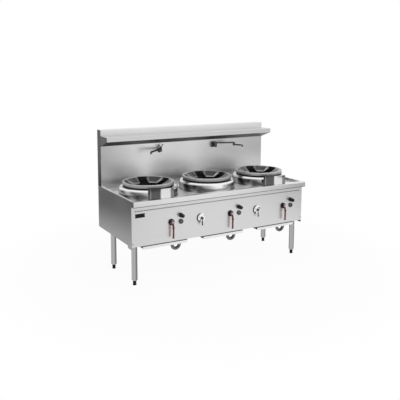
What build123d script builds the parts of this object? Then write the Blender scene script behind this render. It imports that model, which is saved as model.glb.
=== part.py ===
from build123d import *
import os
from math import cos, radians, sin

os.makedirs("parts", exist_ok=True)

# Three-hole wok range on legs. All sizes are in millimetres.
# X runs along the front, Y to the back, Z up. The origin is on the floor, under the middle.

# ---------------------------------------------------------------- burner unit
skirt_foot_radius = 264.0    # flared foot of the chrome skirt, where it stands on the deck
skirt_flare = 5.0            # how far the foot stands out from the skirt wall
skirt_flare_height = 12.0
skirt_height = 84.0          # deck to the top of the skirt
skirt_shoulder = 24.0        # radius of the rounded top edge
skirt_mouth_radius = 221.0
skirt_wall = 2.5

ring_radius = 227.6          # outer edge of the cast ring
ring_lip_height = 29.0
ring_lip_width = 14.0
ring_edge = 2.0              # broken edges of the casting
ring_gap = 9.0               # dark gap between the skirt and the ring
lobe_count = 5
lobe_angle = 42.0            # how much of the circle one lobe takes
lobe_turn = 46.0             # direction of the first lobe, from +X towards +Y
lobe_tip_radius = 125.0
lobe_fall = 40.0             # the lobes slope down this far towards the middle
lobe_thickness = 11.0
lobe_edge = 3.0              # rounding of the lobe tips
ring_spigot_depth = 10.0     # collar under the ring that sits inside the chamber
ring_spigot_wall = 8.0

chamber_radius = 205.0
chamber_wall = 8.0
chamber_floor_radius = 128.0
chamber_depth = 200.0        # rim of the chamber to its underside
chamber_cylinder = 110.0     # straight upper part of the chamber
chamber_collar_reach = 25.0  # flange by which the chamber hangs under the deck
chamber_collar_height = 6.0
chamber_floor_hole = 55.0

burner_disc_radius = 88.0
burner_disc_height = 16.0
burner_head_radius = 72.0
burner_head_height = 16.0
burner_head_taper = 8.0      # degrees
jet_radius = 7.0
jet_bore = 2.5
jet_height = 36.0
jet_rows = ((1, 0.0), (6, 30.0), (12, 58.0))   # how many jets, and on which radius
burner_stem_radius = 15.0
burner_stem_length = 42.0

# --------------------------------------------------------------------- layout
skirt_spacing = 73.5         # clear width between neighbouring skirts
side_land = 34.5             # outer skirt to the side of the range
front_rim_depth = 49.0       # flat top of the front nosing
front_land = 39.0            # nosing to the skirts
rear_land = 12.0             # skirts to the gutter
gutter_width = 73.0
splash_land = 18.0           # gutter to the splashback
splash_depth = 81.0
splash_edge_radius = 4.0

rim_height = 735.0           # top of the rim above the floor
deck_drop = 27.0             # the deck lies this far under the rim
side_rim_width = 22.0
nosing_height = 46.0
nosing_edge_radius = 7.0
nosing_wall = 3.0
panel_setback = 47.0         # nosing front to the front panel
body_underside = 348.0       # lower edge of the panels
gutter_depth = 30.0
splash_rise = 518.0          # rim to the top of the splashback
shelf_drop = 53.0            # splashback top to the shelf
shelf_reach = 153.0
shelf_front_height = 40.0
shelf_back_height = 94.0     # depth of the shelf's wedge at the splashback
shelf_wall = 2.0
shelf_cap_wall = 2.0
sheet = 2.0                  # side, front and rear panels
deck_sheet = 3.0
rear_recess = 2.0            # rear sheets behind the edge of the sides
return_width = 20.0          # folded edge under the panels
tab_width = 80.0             # tab at the lower front corner of each side
tab_drop = 22.0
tab_corner = 12.0

# ------------------------------------------------------------------ underframe
rail = 40.0
rail_wall = 3.0
post = 30.0
member_gap = 0.2             # hair gap between the bolted members
leg_inset_side = 54.0
leg_setback_front = 116.0
leg_setback_rear = 223.0     # rear leg axis to the back of the range
leg_radius = 25.0
leg_bore_depth = 90.0
leg_chamfer = 9.0
leg_flange_radius = 30.0
leg_flange_height = 4.0
foot_height = 35.0
foot_radius = 16.0
foot_stem_radius = 8.0
foot_stem_length = 70.0
foot_gap = 1.0
foot_under_edge = 1.5
foot_top_edge = 3.0
foot_flat_depth = 2.0
foot_flat_height = 7.0

# ---------------------------------------------------------------- spill trays
tray_leg_gap = 14.0          # runner to the leg's flange
tray_half_width = 212.0
tray_depth = 540.0
tray_height = 28.0
tray_drop = 5.0              # dark gap between the panel and the tray
tray_wall = 1.5
tray_side_inset = 12.0       # side walls stand this far inside the front
tray_front_setback = 3.0     # tray front behind the panel's outer face
runner_thickness = 2.5
runner_gap = 1.5             # tray to the runners, sideways
drain_tube_radius = 15.0
drain_bore_radius = 12.5
drain_bend_radius = 36.0
drain_offset = 142.0         # drain tube to the right of the tray's middle
drain_setback = 153.0        # drain tube behind the tray front
drain_fall = 54.0            # tray floor to the middle of the bend
drain_nut_radius = 19.0
drain_nut_height = 14.0

# ------------------------------------------------------------------- controls
lever_offset = 68.0          # lever to the right of its burner
lever_height = 518.0
lever_drop = 128.0           # lever length under its axis
lever_stand = 36.0           # lever in front of the panel
lever_rod_radius = 5.5
lever_ball_radius = 9.5
lever_hub_radius = 12.0
lever_shaft_radius = 5.0
boss_radius = 27.0
boss_height = 9.0
boss_step_radius = 20.0
boss_step_height = 9.0
knob_offset = 161.0
knob_height = 566.0
knob_radius = 17.5
knob_length = 38.0
knob_stand = 3.0
knob_shaft_radius = 4.0
knob_grooves = 12
knob_groove_radius = 2.2
knob_collar = 2.0            # wider ring at the foot of the knob
knob_collar_height = 5.0
knob_pointer = 1.2
button_height = 512.0
button_radius = 10.0
button_length = 11.0
button_edge = 2.0
button_plunger = 20.0        # how far the button's stem reaches behind the panel face
button_travel = 4.0
bezel_radius = 21.5
bezel_height = 10.0
bezel_edge = 1.2
water_offset = 359.0         # water valve to the right of its burner
water_height = 518.0
rosette_radius = 42.0
rosette_height = 7.0
rosette_taper = 30.0         # degrees
water_stem_radius = 6.0
water_hub_radius = 12.5
water_hub_stand = 12.0
water_hub_length = 20.0
water_hub_edge = 4.0
water_lever_length = 64.0
water_lever_stand = 29.5     # lever tip in front of the panel
water_lever_width = 13.0
water_lever_thickness = 7.0
water_tip_width = 9.0
water_tip_thickness = 6.0
water_lever_round = 2.5
water_tail_level = 500.0     # lower end of the valve's inlet boss
water_tail_setback = 87.0
water_tail_radius = 10.0
plate_width = 87.0
plate_height = 34.0
plate_thickness = 1.5
plate_corner = 3.0
plate_inset = 32.0           # panel edge to the plate
plate_level = 592.0
vent_width = 13.0
vent_height = 9.0
vent_pitch = 20.0
vent_level = 648.0
vent_margin = 28.0
rear_slot_length = 40.0
rear_slot_width = 11.0
rear_slot_pitch = 60.0
rear_slot_rise = 40.0
rear_slot_columns = 9
rear_slot_rows = 3

# ------------------------------------------------------------------ pipework
gas_rail = 34.0
gas_rail_wall = 3.0
gas_rail_level = 440.0
gas_rail_setback = 80.0
gas_valve_radius = 20.0
gas_valve_length = 50.0
pilot_valve_radius = 13.0
pilot_valve_length = 34.0
feed_radius = 11.0
feed_bend = 40.0
gas_branch_inset = 110.0     # gas branch from the side of the range
gas_thread_radius = 16.6
pipe_end_level = 300.0       # where the supply and drain ends stop under the body
pipe_end_setback = 100.0     # supply ends from the back of the range
water_pipe_radius = 8.0
water_pipe_bend = 26.0
water_tail_bend = 12.0
water_rail_level = 480.0
water_rail_setback = 116.0
water_thread_radius = 10.5
water_branch_offset = 61.0
waste_radius = 20.0
waste_wall = 2.0
strainer_radius = 30.0
strainer_depth = 22.0
strainer_holes = 8
strainer_hole_radius = 1.5

# ----------------------------------------------------------------------- taps
tap_offset = 310.0           # left tap from the middle
tap_level = 1034.0           # neck of the left tap above the floor
tap_reach = 31.0             # splashback to the swivel axis
tap_flange_radius = 22.0
tap_flange_height = 6.0
tap_neck_radius = 9.0
tap_barrel_radius = 13.0
tap_barrel_height = 20.0
tap_post_radius = 7.0        # the spout turns on this post
tap_spindle_radius = 3.0
tap_spindle_depth = 24.0
spout_tube_radius = 7.5
spout_collar_height = 18.0
spout_length = 180.0
spout_turn = 214.0           # direction of the spout at rest, from +X towards +Y
spout_fall = 12.0            # the spout runs down this far to its bend
spout_tip_drop = 18.0
spout_nozzle_length = 10.0
handle_hub_height = 12.0
handle_wing_length = 24.0    # each wing reaches this far out and up
handle_wing_radius = 4.5
filler_offset = 299.0        # pot filler from the middle
filler_level = 1056.0        # middle of the pot filler's wall plate
filler_neck_drop = 8.0
filler_reach = 46.0
filler_plate_width = 52.0
filler_plate_height = 56.0
filler_plate_depth = 8.0
filler_barrel_height = 32.0
filler_arm_radius = 7.0
filler_inner_length = 188.0
filler_inner_turn = -20.0    # direction of the inner arm at rest, from +X towards +Y
filler_outer_length = 100.0
filler_outer_turn = -65.0
filler_joint_radius = 12.0
filler_joint_height = 20.0
filler_pin_radius = 5.5
filler_pin_depth = 16.0
filler_tip_drop = 18.0

# ------------------------------------------------------------- heat guards
guard_radius = 325.0
guard_wall = 2.0
guard_height = 82.0
guard_angle = 34.0           # how much of the circle the guard takes
guard_left_turn = -6.0       # middle of the guard, from straight ahead towards +X
guard_right_turn = -9.0
guard_foot_width = 12.0
guard_flange_width = 22.0
guard_flange_bend = 40.0     # how far the ends are bent outwards

# ----------------------------------------------------------------- clearances
running_clearance = 0.05     # radial, shafts in their bores
seat_clearance = 0.3         # loose pieces on their seats
hole_clearance = 1.0         # pipes through sheet metal
bore_spare = 2.0             # valve bores go this much deeper than their spindles

screw_head_radius = 4.5
screw_head_height = 2.0
screw_shank_radius = 2.5
screw_shank_length = 8.0
screw_edge = 9.0

# ------------------------------------------------------- places worked out once
burner_pitch = 2 * skirt_foot_radius + skirt_spacing
half_width = burner_pitch + skirt_foot_radius + side_land
burner_setback = front_rim_depth + front_land + skirt_foot_radius
gutter_setback = burner_setback + skirt_foot_radius + rear_land
splash_setback = gutter_setback + gutter_width + splash_land
overall_depth = splash_setback + splash_depth
front_y = -overall_depth / 2
rear_y = overall_depth / 2
burner_y = front_y + burner_setback
panel_y = front_y + panel_setback
splash_y = front_y + splash_setback
gutter_y = front_y + gutter_setback
rim_rear_y = front_y + front_rim_depth
deck_top = rim_height - deck_drop
deck_under = deck_top - deck_sheet
nosing_under = rim_height - nosing_height
splash_top = rim_height + splash_rise
shelf_top = splash_top - shelf_drop
skirt_top = deck_top + skirt_height
ring_seat = skirt_top + ring_gap
ring_top = ring_seat + ring_lip_height
chamber_top = ring_seat - seat_clearance
chamber_under = chamber_top - chamber_depth
panel_half = half_width - sheet
rail_under = body_underside + sheet
rail_top = rail_under + rail
leg_x = half_width - leg_inset_side
leg_front_y = front_y + leg_setback_front
leg_rear_y = rear_y - leg_setback_rear
tray_top = body_underside - tray_drop
tray_under = tray_top - tray_height
tray_front_y = panel_y + tray_front_setback
tray_rear_y = tray_front_y + tray_depth
runner_outer = tray_half_width + runner_thickness + runner_gap
runner_inner = tray_half_width - tray_side_inset + tray_wall + runner_gap
tray_pitch = leg_x - leg_flange_radius - tray_leg_gap - runner_outer
tap_y = splash_y - tap_reach
filler_y = splash_y - filler_reach
filler_neck_z = filler_level - filler_neck_drop
riser_y = (splash_y + rear_y) / 2
supply_y = rear_y - pipe_end_setback

rear_face_y = rear_y - rear_recess
panel_back_y = panel_y + sheet
middle_post_x = burner_pitch / 2
water_tail_y = front_y + water_tail_setback

burners = {"left": -burner_pitch, "centre": 0.0, "right": burner_pitch}
trays = {"left": -tray_pitch, "centre": 0.0, "right": tray_pitch}
water_taps = {"left": -burner_pitch + water_offset, "right": water_offset}
risers = {"left": (-tap_offset, tap_level), "right": (filler_offset, filler_neck_z)}
panel_screws = [(side * (panel_half - screw_edge), body_underside + return_width + screw_edge)
                for side in (-1, 1)]


def keep(piece, label):
    piece.part.label = label
    export_step(piece.part, f"parts/{label}.step")


def upright(x, y, angle):
    """Standing plane through the vertical line at x, y, whose own X points at angle."""
    a = radians(angle)
    return Plane(origin=(x, y, 0), x_dir=(cos(a), sin(a), 0), z_dir=(sin(a), -cos(a), 0))


def facing_front(x, y, z):
    """Plane at x, y, z that looks to the front."""
    return Plane(origin=(x, y, z), x_dir=(1, 0, 0), z_dir=(0, -1, 0))


def tube_along(points, radius, bend):
    """Round bar along straight runs with rounded corners."""
    with BuildPart() as bar:
        with BuildLine() as path:
            FilletPolyline(*points, radius=bend)
        start = path.line
        with BuildSketch(Plane(origin=start @ 0, z_dir=start % 0)):
            Circle(radius)
        sweep(path=path.line)
    return bar.part


# ------------------------------------------------------------ deck and nosing
gutter_half = half_width - side_rim_width - rear_land
gutter_middle_y = gutter_y + gutter_width / 2

with BuildPart() as hob_deck:
    with BuildSketch(Plane.XY.offset(deck_under)):
        with Locations((0, (rear_face_y + rim_rear_y) / 2)):
            Rectangle(2 * panel_half, rear_face_y - rim_rear_y)
    extrude(amount=deck_sheet)
    # folded rim along both sides, closed on the outside by the side panels
    rim_inner = half_width - side_rim_width
    rim_middle_y = (splash_y + rim_rear_y) / 2
    for side in (-1, 1):
        with BuildSketch(Plane.XY.offset(deck_under)):
            with Locations((side * (rim_inner + deck_sheet / 2), rim_middle_y)):
                Rectangle(deck_sheet, splash_y - rim_rear_y)
        extrude(amount=rim_height - deck_under)
        with BuildSketch(Plane.XY.offset(rim_height - deck_sheet)):
            with Locations((side * (rim_inner + panel_half) / 2, rim_middle_y)):
                Rectangle(panel_half - rim_inner, splash_y - rim_rear_y)
        extrude(amount=deck_sheet)
    # gutter along the back
    with BuildSketch(Plane.XY.offset(deck_top - gutter_depth - deck_sheet)):
        with Locations((0, gutter_middle_y)):
            Rectangle(2 * gutter_half + 2 * deck_sheet, gutter_width + 2 * deck_sheet)
    extrude(amount=gutter_depth + deck_sheet)
    with BuildSketch(Plane.XY.offset(deck_top - gutter_depth)):
        with Locations((0, gutter_middle_y)):
            Rectangle(2 * gutter_half, gutter_width)
    extrude(amount=gutter_depth, mode=Mode.SUBTRACT)
    with BuildSketch(Plane.XY.offset(deck_under)):
        for x in burners.values():
            with Locations((x, burner_y)):
                Circle(chamber_radius + hole_clearance)
        for x, level in risers.values():
            with Locations((x, riser_y)):
                Circle(water_pipe_radius + hole_clearance)
    extrude(amount=deck_sheet, mode=Mode.SUBTRACT)
    with BuildSketch(Plane.XY.offset(deck_top - gutter_depth - deck_sheet)):
        with Locations((burners["right"], gutter_middle_y)):
            Circle(waste_radius + hole_clearance)
    extrude(amount=deck_sheet, mode=Mode.SUBTRACT)
keep(hob_deck, "hob_deck")

with BuildPart() as front_nosing:
    with BuildSketch(Plane.XY.offset(nosing_under)):
        with Locations((0, front_y + front_rim_depth / 2)):
            Rectangle(2 * panel_half, front_rim_depth)
    extrude(amount=nosing_height)
    fillet(front_nosing.faces().sort_by(Axis.Y)[0].edges().sort_by(Axis.Z)[-1], nosing_edge_radius)
    with BuildSketch(Plane.XY.offset(nosing_under + nosing_wall)):
        with Locations((0, front_y + front_rim_depth / 2)):
            Rectangle(2 * panel_half, front_rim_depth - 2 * nosing_wall)
    extrude(amount=nosing_height - 2 * nosing_wall, mode=Mode.SUBTRACT)
keep(front_nosing, "front_nosing")

# --------------------------------------------------------------------- panels
vent_count = int((2 * panel_half - 2 * vent_margin) / vent_pitch)

with BuildPart() as front_panel:
    panel_height = nosing_under - body_underside
    with BuildSketch(facing_front(0, panel_back_y, body_underside)):
        with Locations((0, panel_height / 2)):
            Rectangle(2 * panel_half, panel_height)
        with Locations((0, vent_level - body_underside)):
            with GridLocations(vent_pitch, 1, vent_count, 1):
                SlotOverall(vent_width, vent_height, mode=Mode.SUBTRACT)
        for x in burners.values():
            with Locations((x + lever_offset, lever_height - body_underside)):
                Circle(lever_shaft_radius + hole_clearance, mode=Mode.SUBTRACT)
            with Locations((x + knob_offset, knob_height - body_underside)):
                Circle(knob_shaft_radius + hole_clearance, mode=Mode.SUBTRACT)
            with Locations((x + knob_offset, button_height - body_underside)):
                Circle(button_radius + hole_clearance, mode=Mode.SUBTRACT)
        for x in water_taps.values():
            with Locations((x, water_height - body_underside)):
                Circle(water_hub_radius, mode=Mode.SUBTRACT)
        for x, z in panel_screws:
            with Locations((x, z - body_underside)):
                Circle(screw_shank_radius, mode=Mode.SUBTRACT)
    extrude(amount=sheet)
    # folded lower edge
    with BuildSketch(Plane.XY.offset(body_underside)):
        with Locations((0, panel_back_y + return_width / 2)):
            Rectangle(2 * panel_half, return_width)
    extrude(amount=sheet)
keep(front_panel, "front_panel")


def side_panel(side):
    """Side sheet from the folded lower edge up to the rim, with a tab at its front corner."""
    with BuildPart() as panel:
        side_plane = Plane(origin=(side * panel_half, 0, 0), x_dir=(0, 1, 0), z_dir=(1, 0, 0))
        with BuildSketch(side_plane) as outline:
            Polygon((panel_y, body_underside - tab_drop), (panel_y + tab_width, body_underside - tab_drop),
                    (panel_y + tab_width, body_underside), (rear_y, body_underside), (rear_y, rim_height),
                    (front_y, rim_height), (front_y, nosing_under), (panel_y, nosing_under), align=None)
            fillet(outline.vertices().group_by(Axis.Y)[0], tab_corner)
            fillet(outline.vertices().group_by(Axis.X)[0].sort_by(Axis.Y)[-1], nosing_edge_radius)
        extrude(amount=side * sheet)
        fold_start = panel_back_y + return_width
        fold_end = rear_face_y - sheet
        with BuildSketch(Plane.XY.offset(body_underside)):
            with Locations((side * (panel_half - return_width / 2), (fold_start + fold_end) / 2)):
                Rectangle(return_width, fold_end - fold_start)
        extrude(amount=sheet)
    return panel


for side_name, side in (("left", -1), ("right", 1)):
    keep(side_panel(side), f"side_panel_{side_name}")

rear_screws = [(x, z)
               for x in (-panel_half + 2 * screw_edge, 0, panel_half - 2 * screw_edge)
               for z in (body_underside + 3 * screw_edge, deck_under - gutter_depth - 3 * screw_edge)]

with BuildPart() as rear_panel:
    rear_height = deck_under - body_underside
    with BuildSketch(facing_front(0, rear_face_y, body_underside)):
        with Locations((0, rear_height / 2)):
            Rectangle(2 * panel_half, rear_height)
        with Locations((0, rear_height / 2)):
            with GridLocations(rear_slot_pitch, rear_slot_rise, rear_slot_columns, rear_slot_rows):
                SlotOverall(rear_slot_length, rear_slot_width, mode=Mode.SUBTRACT)
        for x, z in rear_screws:
            with Locations((x, z - body_underside)):
                Circle(screw_shank_radius, mode=Mode.SUBTRACT)
    extrude(amount=sheet)
keep(rear_panel, "rear_panel")

# ----------------------------------------------------- splashback and shelf
splash_screws = [(x, z)
                 for x in (-panel_half + 2 * screw_edge, 0, panel_half - 2 * screw_edge)
                 for z in (deck_top + 3 * screw_edge, splash_top - 3 * screw_edge)]

with BuildPart() as splashback:
    with BuildSketch(Plane.XY.offset(deck_top)):
        with Locations((0, (splash_y + rear_y) / 2)):
            Rectangle(2 * panel_half, splash_depth)
    extrude(amount=deck_drop)
    with BuildSketch(Plane.XY.offset(rim_height)):
        with Locations((0, (splash_y + rear_y) / 2)):
            Rectangle(2 * half_width, splash_depth)
    extrude(amount=splash_rise)
    top_edges = splashback.faces().sort_by(Axis.Z)[-1].edges().filter_by(Axis.X)
    fillet(top_edges.sort_by(Axis.Y)[0], splash_edge_radius)
    with BuildSketch(Plane.XY.offset(deck_top)):
        with Locations((0, (splash_y + sheet + rear_y) / 2)):
            Rectangle(2 * panel_half, splash_depth - sheet)
    extrude(amount=splash_top - sheet - deck_top, mode=Mode.SUBTRACT)
    for x, level in risers.values():
        with BuildSketch(facing_front(x, splash_y, level)):
            Circle(tap_neck_radius)
        extrude(amount=-sheet, mode=Mode.SUBTRACT)
keep(splashback, "splashback")

with BuildPart() as splashback_cover:
    cover_height = splash_top - sheet - deck_top
    with BuildSketch(facing_front(0, rear_face_y, deck_top)):
        with Locations((0, cover_height / 2)):
            Rectangle(2 * panel_half, cover_height)
        for x, z in splash_screws:
            with Locations((x, z - deck_top)):
                Circle(screw_shank_radius, mode=Mode.SUBTRACT)
    extrude(amount=sheet)
keep(splashback_cover, "splashback_cover")


def shelf_outline(inset):
    """Wedge section of the shelf, on a plane whose X runs forward from the splashback."""
    slope = (shelf_back_height - shelf_front_height) / shelf_reach
    run = inset * (1 + slope ** 2) ** 0.5
    return ((0, -inset), (shelf_reach - inset, -inset),
            (shelf_reach - inset, -shelf_front_height + run - slope * inset),
            (0, -shelf_back_height + run))


def shelf_plane(x):
    return Plane(origin=(x, splash_y, shelf_top), x_dir=(0, -1, 0), z_dir=(-1, 0, 0))


with BuildPart() as overhead_shelf:
    with BuildSketch(shelf_plane(half_width - shelf_cap_wall)):
        Polygon(*shelf_outline(0), align=None)
        Polygon(*shelf_outline(shelf_wall), align=None, mode=Mode.SUBTRACT)
    extrude(amount=2 * (half_width - shelf_cap_wall))
keep(overhead_shelf, "overhead_shelf")

with BuildPart() as shelf_end_caps:
    for start in (half_width, -half_width + shelf_cap_wall):
        with BuildSketch(shelf_plane(start)):
            Polygon(*shelf_outline(0), align=None)
        extrude(amount=shelf_cap_wall)
keep(shelf_end_caps, "shelf_end_caps")

# ------------------------------------------------------- underframe and legs
runner_top = tray_top - tray_wall - seat_clearance
runner_under = runner_top - runner_thickness

with BuildPart() as underframe:
    side_rail_end = rear_face_y - sheet
    cross_rails = (leg_front_y, burner_y, leg_rear_y)
    posts = [(side * leg_x, y) for side in (-1, 1) for y in (leg_front_y, leg_rear_y)]
    posts += [(side * middle_post_x, y) for side in (-1, 1) for y in (burner_y, leg_rear_y)]
    # the side rails run in lengths between the cross rails
    rail_ends = [panel_back_y]
    for y in cross_rails:
        rail_ends += [y - rail / 2 - member_gap, y + rail / 2 + member_gap]
    rail_ends += [side_rail_end]
    rails = [(0, y, 2 * panel_half, rail) for y in cross_rails]
    rails += [(side * leg_x, (start + end) / 2, rail, end - start)
              for side in (-1, 1) for start, end in zip(rail_ends[::2], rail_ends[1::2])]
    for x, y, across, back in rails:
        with BuildSketch(Plane.XY.offset(rail_under)):
            with Locations((x, y)):
                Rectangle(across, back)
        extrude(amount=rail)
        # each rail is a channel, open from below, with closed ends
        with BuildSketch(Plane.XY.offset(rail_under)):
            with Locations((x, y)):
                Rectangle(across - 2 * rail_wall, back - 2 * rail_wall)
        extrude(amount=rail - rail_wall, mode=Mode.SUBTRACT)
    with BuildSketch(Plane.XY.offset(rail_top + member_gap)):
        for x, y in posts:
            with Locations((x, y)):
                Rectangle(post, post)
    extrude(amount=deck_under - rail_top - member_gap)
    # ledges that carry the spill trays, each under a strip that hangs from the rails
    runner_length = leg_rear_y - leg_front_y + rail
    runner_middle = (leg_rear_y + leg_front_y) / 2
    strip_under = runner_under + runner_thickness + member_gap
    for x in trays.values():
        for side in (-1, 1):
            with BuildSketch(Plane.XY.offset(strip_under)):
                with Locations((x + side * (runner_outer - runner_thickness / 2), runner_middle)):
                    Rectangle(runner_thickness, runner_length)
            extrude(amount=rail_under - member_gap - strip_under)
            with BuildSketch(Plane.XY.offset(runner_under)):
                with Locations((x + side * (runner_outer + runner_inner) / 2, runner_middle)):
                    Rectangle(runner_outer - runner_inner, runner_length)
            extrude(amount=runner_thickness)
keep(underframe, "underframe")

leg_under = foot_height + foot_gap
leg_places = {"front_left": (-leg_x, leg_front_y), "front_right": (leg_x, leg_front_y),
              "rear_left": (-leg_x, leg_rear_y), "rear_right": (leg_x, leg_rear_y)}

with BuildPart() as legs:
    for x, y in leg_places.values():
        with BuildSketch(Plane.XY.offset(leg_under)):
            with Locations((x, y)):
                Circle(leg_radius)
        leg_bar = extrude(amount=rail_under - leg_under)
        chamfer(leg_bar.edges().sort_by(Axis.Z)[0], leg_chamfer)
        with BuildSketch(Plane.XY.offset(rail_under - leg_flange_height)):
            with Locations((x, y)):
                Circle(leg_flange_radius)
        extrude(amount=leg_flange_height)
        with BuildSketch(Plane.XY.offset(leg_under)):
            with Locations((x, y)):
                Circle(foot_stem_radius + running_clearance)
        extrude(amount=leg_bore_depth, mode=Mode.SUBTRACT)
keep(legs, "legs")

for foot_name, (x, y) in leg_places.items():
    with BuildPart() as foot:
        with BuildSketch(Plane.XY):
            with Locations((x, y)):
                Circle(foot_radius)
        extrude(amount=foot_height)
        chamfer(foot.edges().filter_by(GeomType.CIRCLE).sort_by(Axis.Z)[0], foot_under_edge)
        chamfer(foot.edges().filter_by(GeomType.CIRCLE).sort_by(Axis.Z)[-1], foot_top_edge)
        with BuildSketch(Plane.XY.offset(foot_height)):
            with Locations((x, y)):
                Circle(foot_stem_radius)
        extrude(amount=foot_stem_length)
        # spanner flats
        with BuildSketch(Plane.XY.offset(foot_height / 2)):
            for side in (-1, 1):
                with Locations((x, y + side * foot_radius)):
                    Rectangle(2 * foot_radius, 2 * foot_flat_depth)
        extrude(amount=foot_flat_height, mode=Mode.SUBTRACT)
    keep(foot, f"foot_{foot_name}")


# ----------------------------------------------------------------- burners
def burner_skirt(x):
    """Chrome skirt: flared foot, straight wall, rounded shoulder and a turned-in top."""
    wall_radius = skirt_foot_radius - skirt_flare
    with BuildPart() as skirt:
        with BuildSketch(upright(x, burner_y, 0)):
            with BuildLine():
                Polyline((skirt_foot_radius, deck_top), (wall_radius, deck_top + skirt_flare_height),
                         (wall_radius, skirt_top - skirt_shoulder))
                RadiusArc((wall_radius, skirt_top - skirt_shoulder),
                          (wall_radius - skirt_shoulder, skirt_top), -skirt_shoulder)
                Polyline((wall_radius - skirt_shoulder, skirt_top), (skirt_mouth_radius, skirt_top),
                         (skirt_mouth_radius, skirt_top - skirt_wall),
                         (wall_radius - skirt_shoulder, skirt_top - skirt_wall))
                RadiusArc((wall_radius - skirt_shoulder, skirt_top - skirt_wall),
                          (wall_radius - skirt_wall, skirt_top - skirt_shoulder),
                          skirt_shoulder - skirt_wall)
                Polyline((wall_radius - skirt_wall, skirt_top - skirt_shoulder),
                         (wall_radius - skirt_wall, deck_top + skirt_flare_height),
                         (skirt_foot_radius - skirt_wall, deck_top), (skirt_foot_radius, deck_top))
            make_face()
        revolve(axis=Axis((x, burner_y, 0), (0, 0, 1)))
    return skirt


def burner_chamber(x):
    """Bowl that hangs under the deck by its collar and carries the ring on its rim."""
    bore = chamber_radius - chamber_wall
    shoulder = chamber_top - chamber_cylinder
    floor_top = chamber_under + chamber_wall
    with BuildPart() as chamber:
        with BuildSketch(upright(x, burner_y, 0)):
            with BuildLine():
                Polyline((chamber_floor_hole, chamber_under), (chamber_floor_radius, chamber_under),
                         (chamber_radius, shoulder), (chamber_radius, chamber_top), (bore, chamber_top),
                         (bore, shoulder + chamber_wall / 2),
                         (chamber_floor_radius - chamber_wall / 2, floor_top),
                         (chamber_floor_hole, floor_top), (chamber_floor_hole, chamber_under))
            make_face()
            with BuildLine():
                Polyline((chamber_radius - chamber_wall / 2, deck_under),
                         (chamber_radius - chamber_wall / 2, deck_under - chamber_collar_height),
                         (chamber_radius + chamber_collar_reach, deck_under - chamber_collar_height),
                         (chamber_radius + chamber_collar_reach, deck_under),
                         (chamber_radius - chamber_wall / 2, deck_under))
            make_face()
        revolve(axis=Axis((x, burner_y, 0), (0, 0, 1)))
    return chamber


def jet_burner(x):
    """Round burner head with rows of upright jets and a stem for the gas feed."""
    base = chamber_under + chamber_wall
    head = base + burner_disc_height
    jets = head + burner_head_height
    with BuildPart() as burner:
        with BuildSketch(Plane.XY.offset(base)):
            with Locations((x, burner_y)):
                Circle(burner_disc_radius)
        extrude(amount=burner_disc_height)
        with BuildSketch(Plane.XY.offset(head)):
            with Locations((x, burner_y)):
                Circle(burner_head_radius)
        extrude(amount=burner_head_height, taper=burner_head_taper)
        for count, radius in jet_rows:
            with BuildSketch(Plane.XY.offset(jets)):
                with Locations((x, burner_y)):
                    with PolarLocations(radius, count):
                        Circle(jet_radius)
                        Circle(jet_bore, mode=Mode.SUBTRACT)
            extrude(amount=jet_height)
        with BuildSketch(Plane.XY.offset(base)):
            with Locations((x, burner_y)):
                Circle(burner_stem_radius)
        extrude(amount=-burner_stem_length)
    return burner


def cast_ring(x):
    """Cast ring: outer lip with a steep inner face, and sloping lobes that carry the wok."""
    lip_inner = ring_radius - ring_lip_width
    spigot = chamber_radius - chamber_wall - 2 * hole_clearance
    throat = spigot - ring_spigot_wall
    with BuildPart() as ring:
        with BuildSketch(upright(x, burner_y, 0)):
            with BuildLine():
                Polyline((ring_radius - ring_edge, ring_seat), (ring_radius, ring_seat + ring_edge),
                         (ring_radius, ring_top - ring_edge), (ring_radius - ring_edge, ring_top),
                         (lip_inner, ring_top), (throat, ring_seat),
                         (throat, ring_seat - ring_spigot_depth), (spigot, ring_seat - ring_spigot_depth),
                         (spigot, ring_seat), (ring_radius - ring_edge, ring_seat))
            make_face()
        revolve(axis=Axis((x, burner_y, 0), (0, 0, 1)))
        slope = lobe_fall / (lip_inner - lobe_tip_radius)
        throat_top = ring_top - slope * (lip_inner - throat)
        for number in range(lobe_count):
            start = lobe_turn - lobe_angle / 2 + number * 360 / lobe_count
            with BuildSketch(upright(x, burner_y, start)):
                with BuildLine():
                    Polyline((lip_inner + lobe_edge, ring_top), (lip_inner, ring_top),
                             (lobe_tip_radius + lobe_edge, ring_top - lobe_fall + slope * lobe_edge),
                             (lobe_tip_radius, ring_top - lobe_fall - lobe_edge),
                             (lobe_tip_radius, ring_top - lobe_fall - lobe_thickness),
                             (throat, throat_top - lobe_thickness), (throat, ring_seat),
                             (lip_inner, ring_seat + ring_edge),
                             (lip_inner + lobe_edge, ring_top))
                make_face()
            revolve(axis=Axis((x, burner_y, 0), (0, 0, 1)), revolution_arc=lobe_angle)
    return ring


for burner_name, x in burners.items():
    keep(burner_skirt(x), f"burner_skirt_{burner_name}")
    keep(burner_chamber(x), f"burner_chamber_{burner_name}")
    keep(jet_burner(x), f"jet_burner_{burner_name}")
    keep(cast_ring(x), f"cast_ring_{burner_name}")


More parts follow.
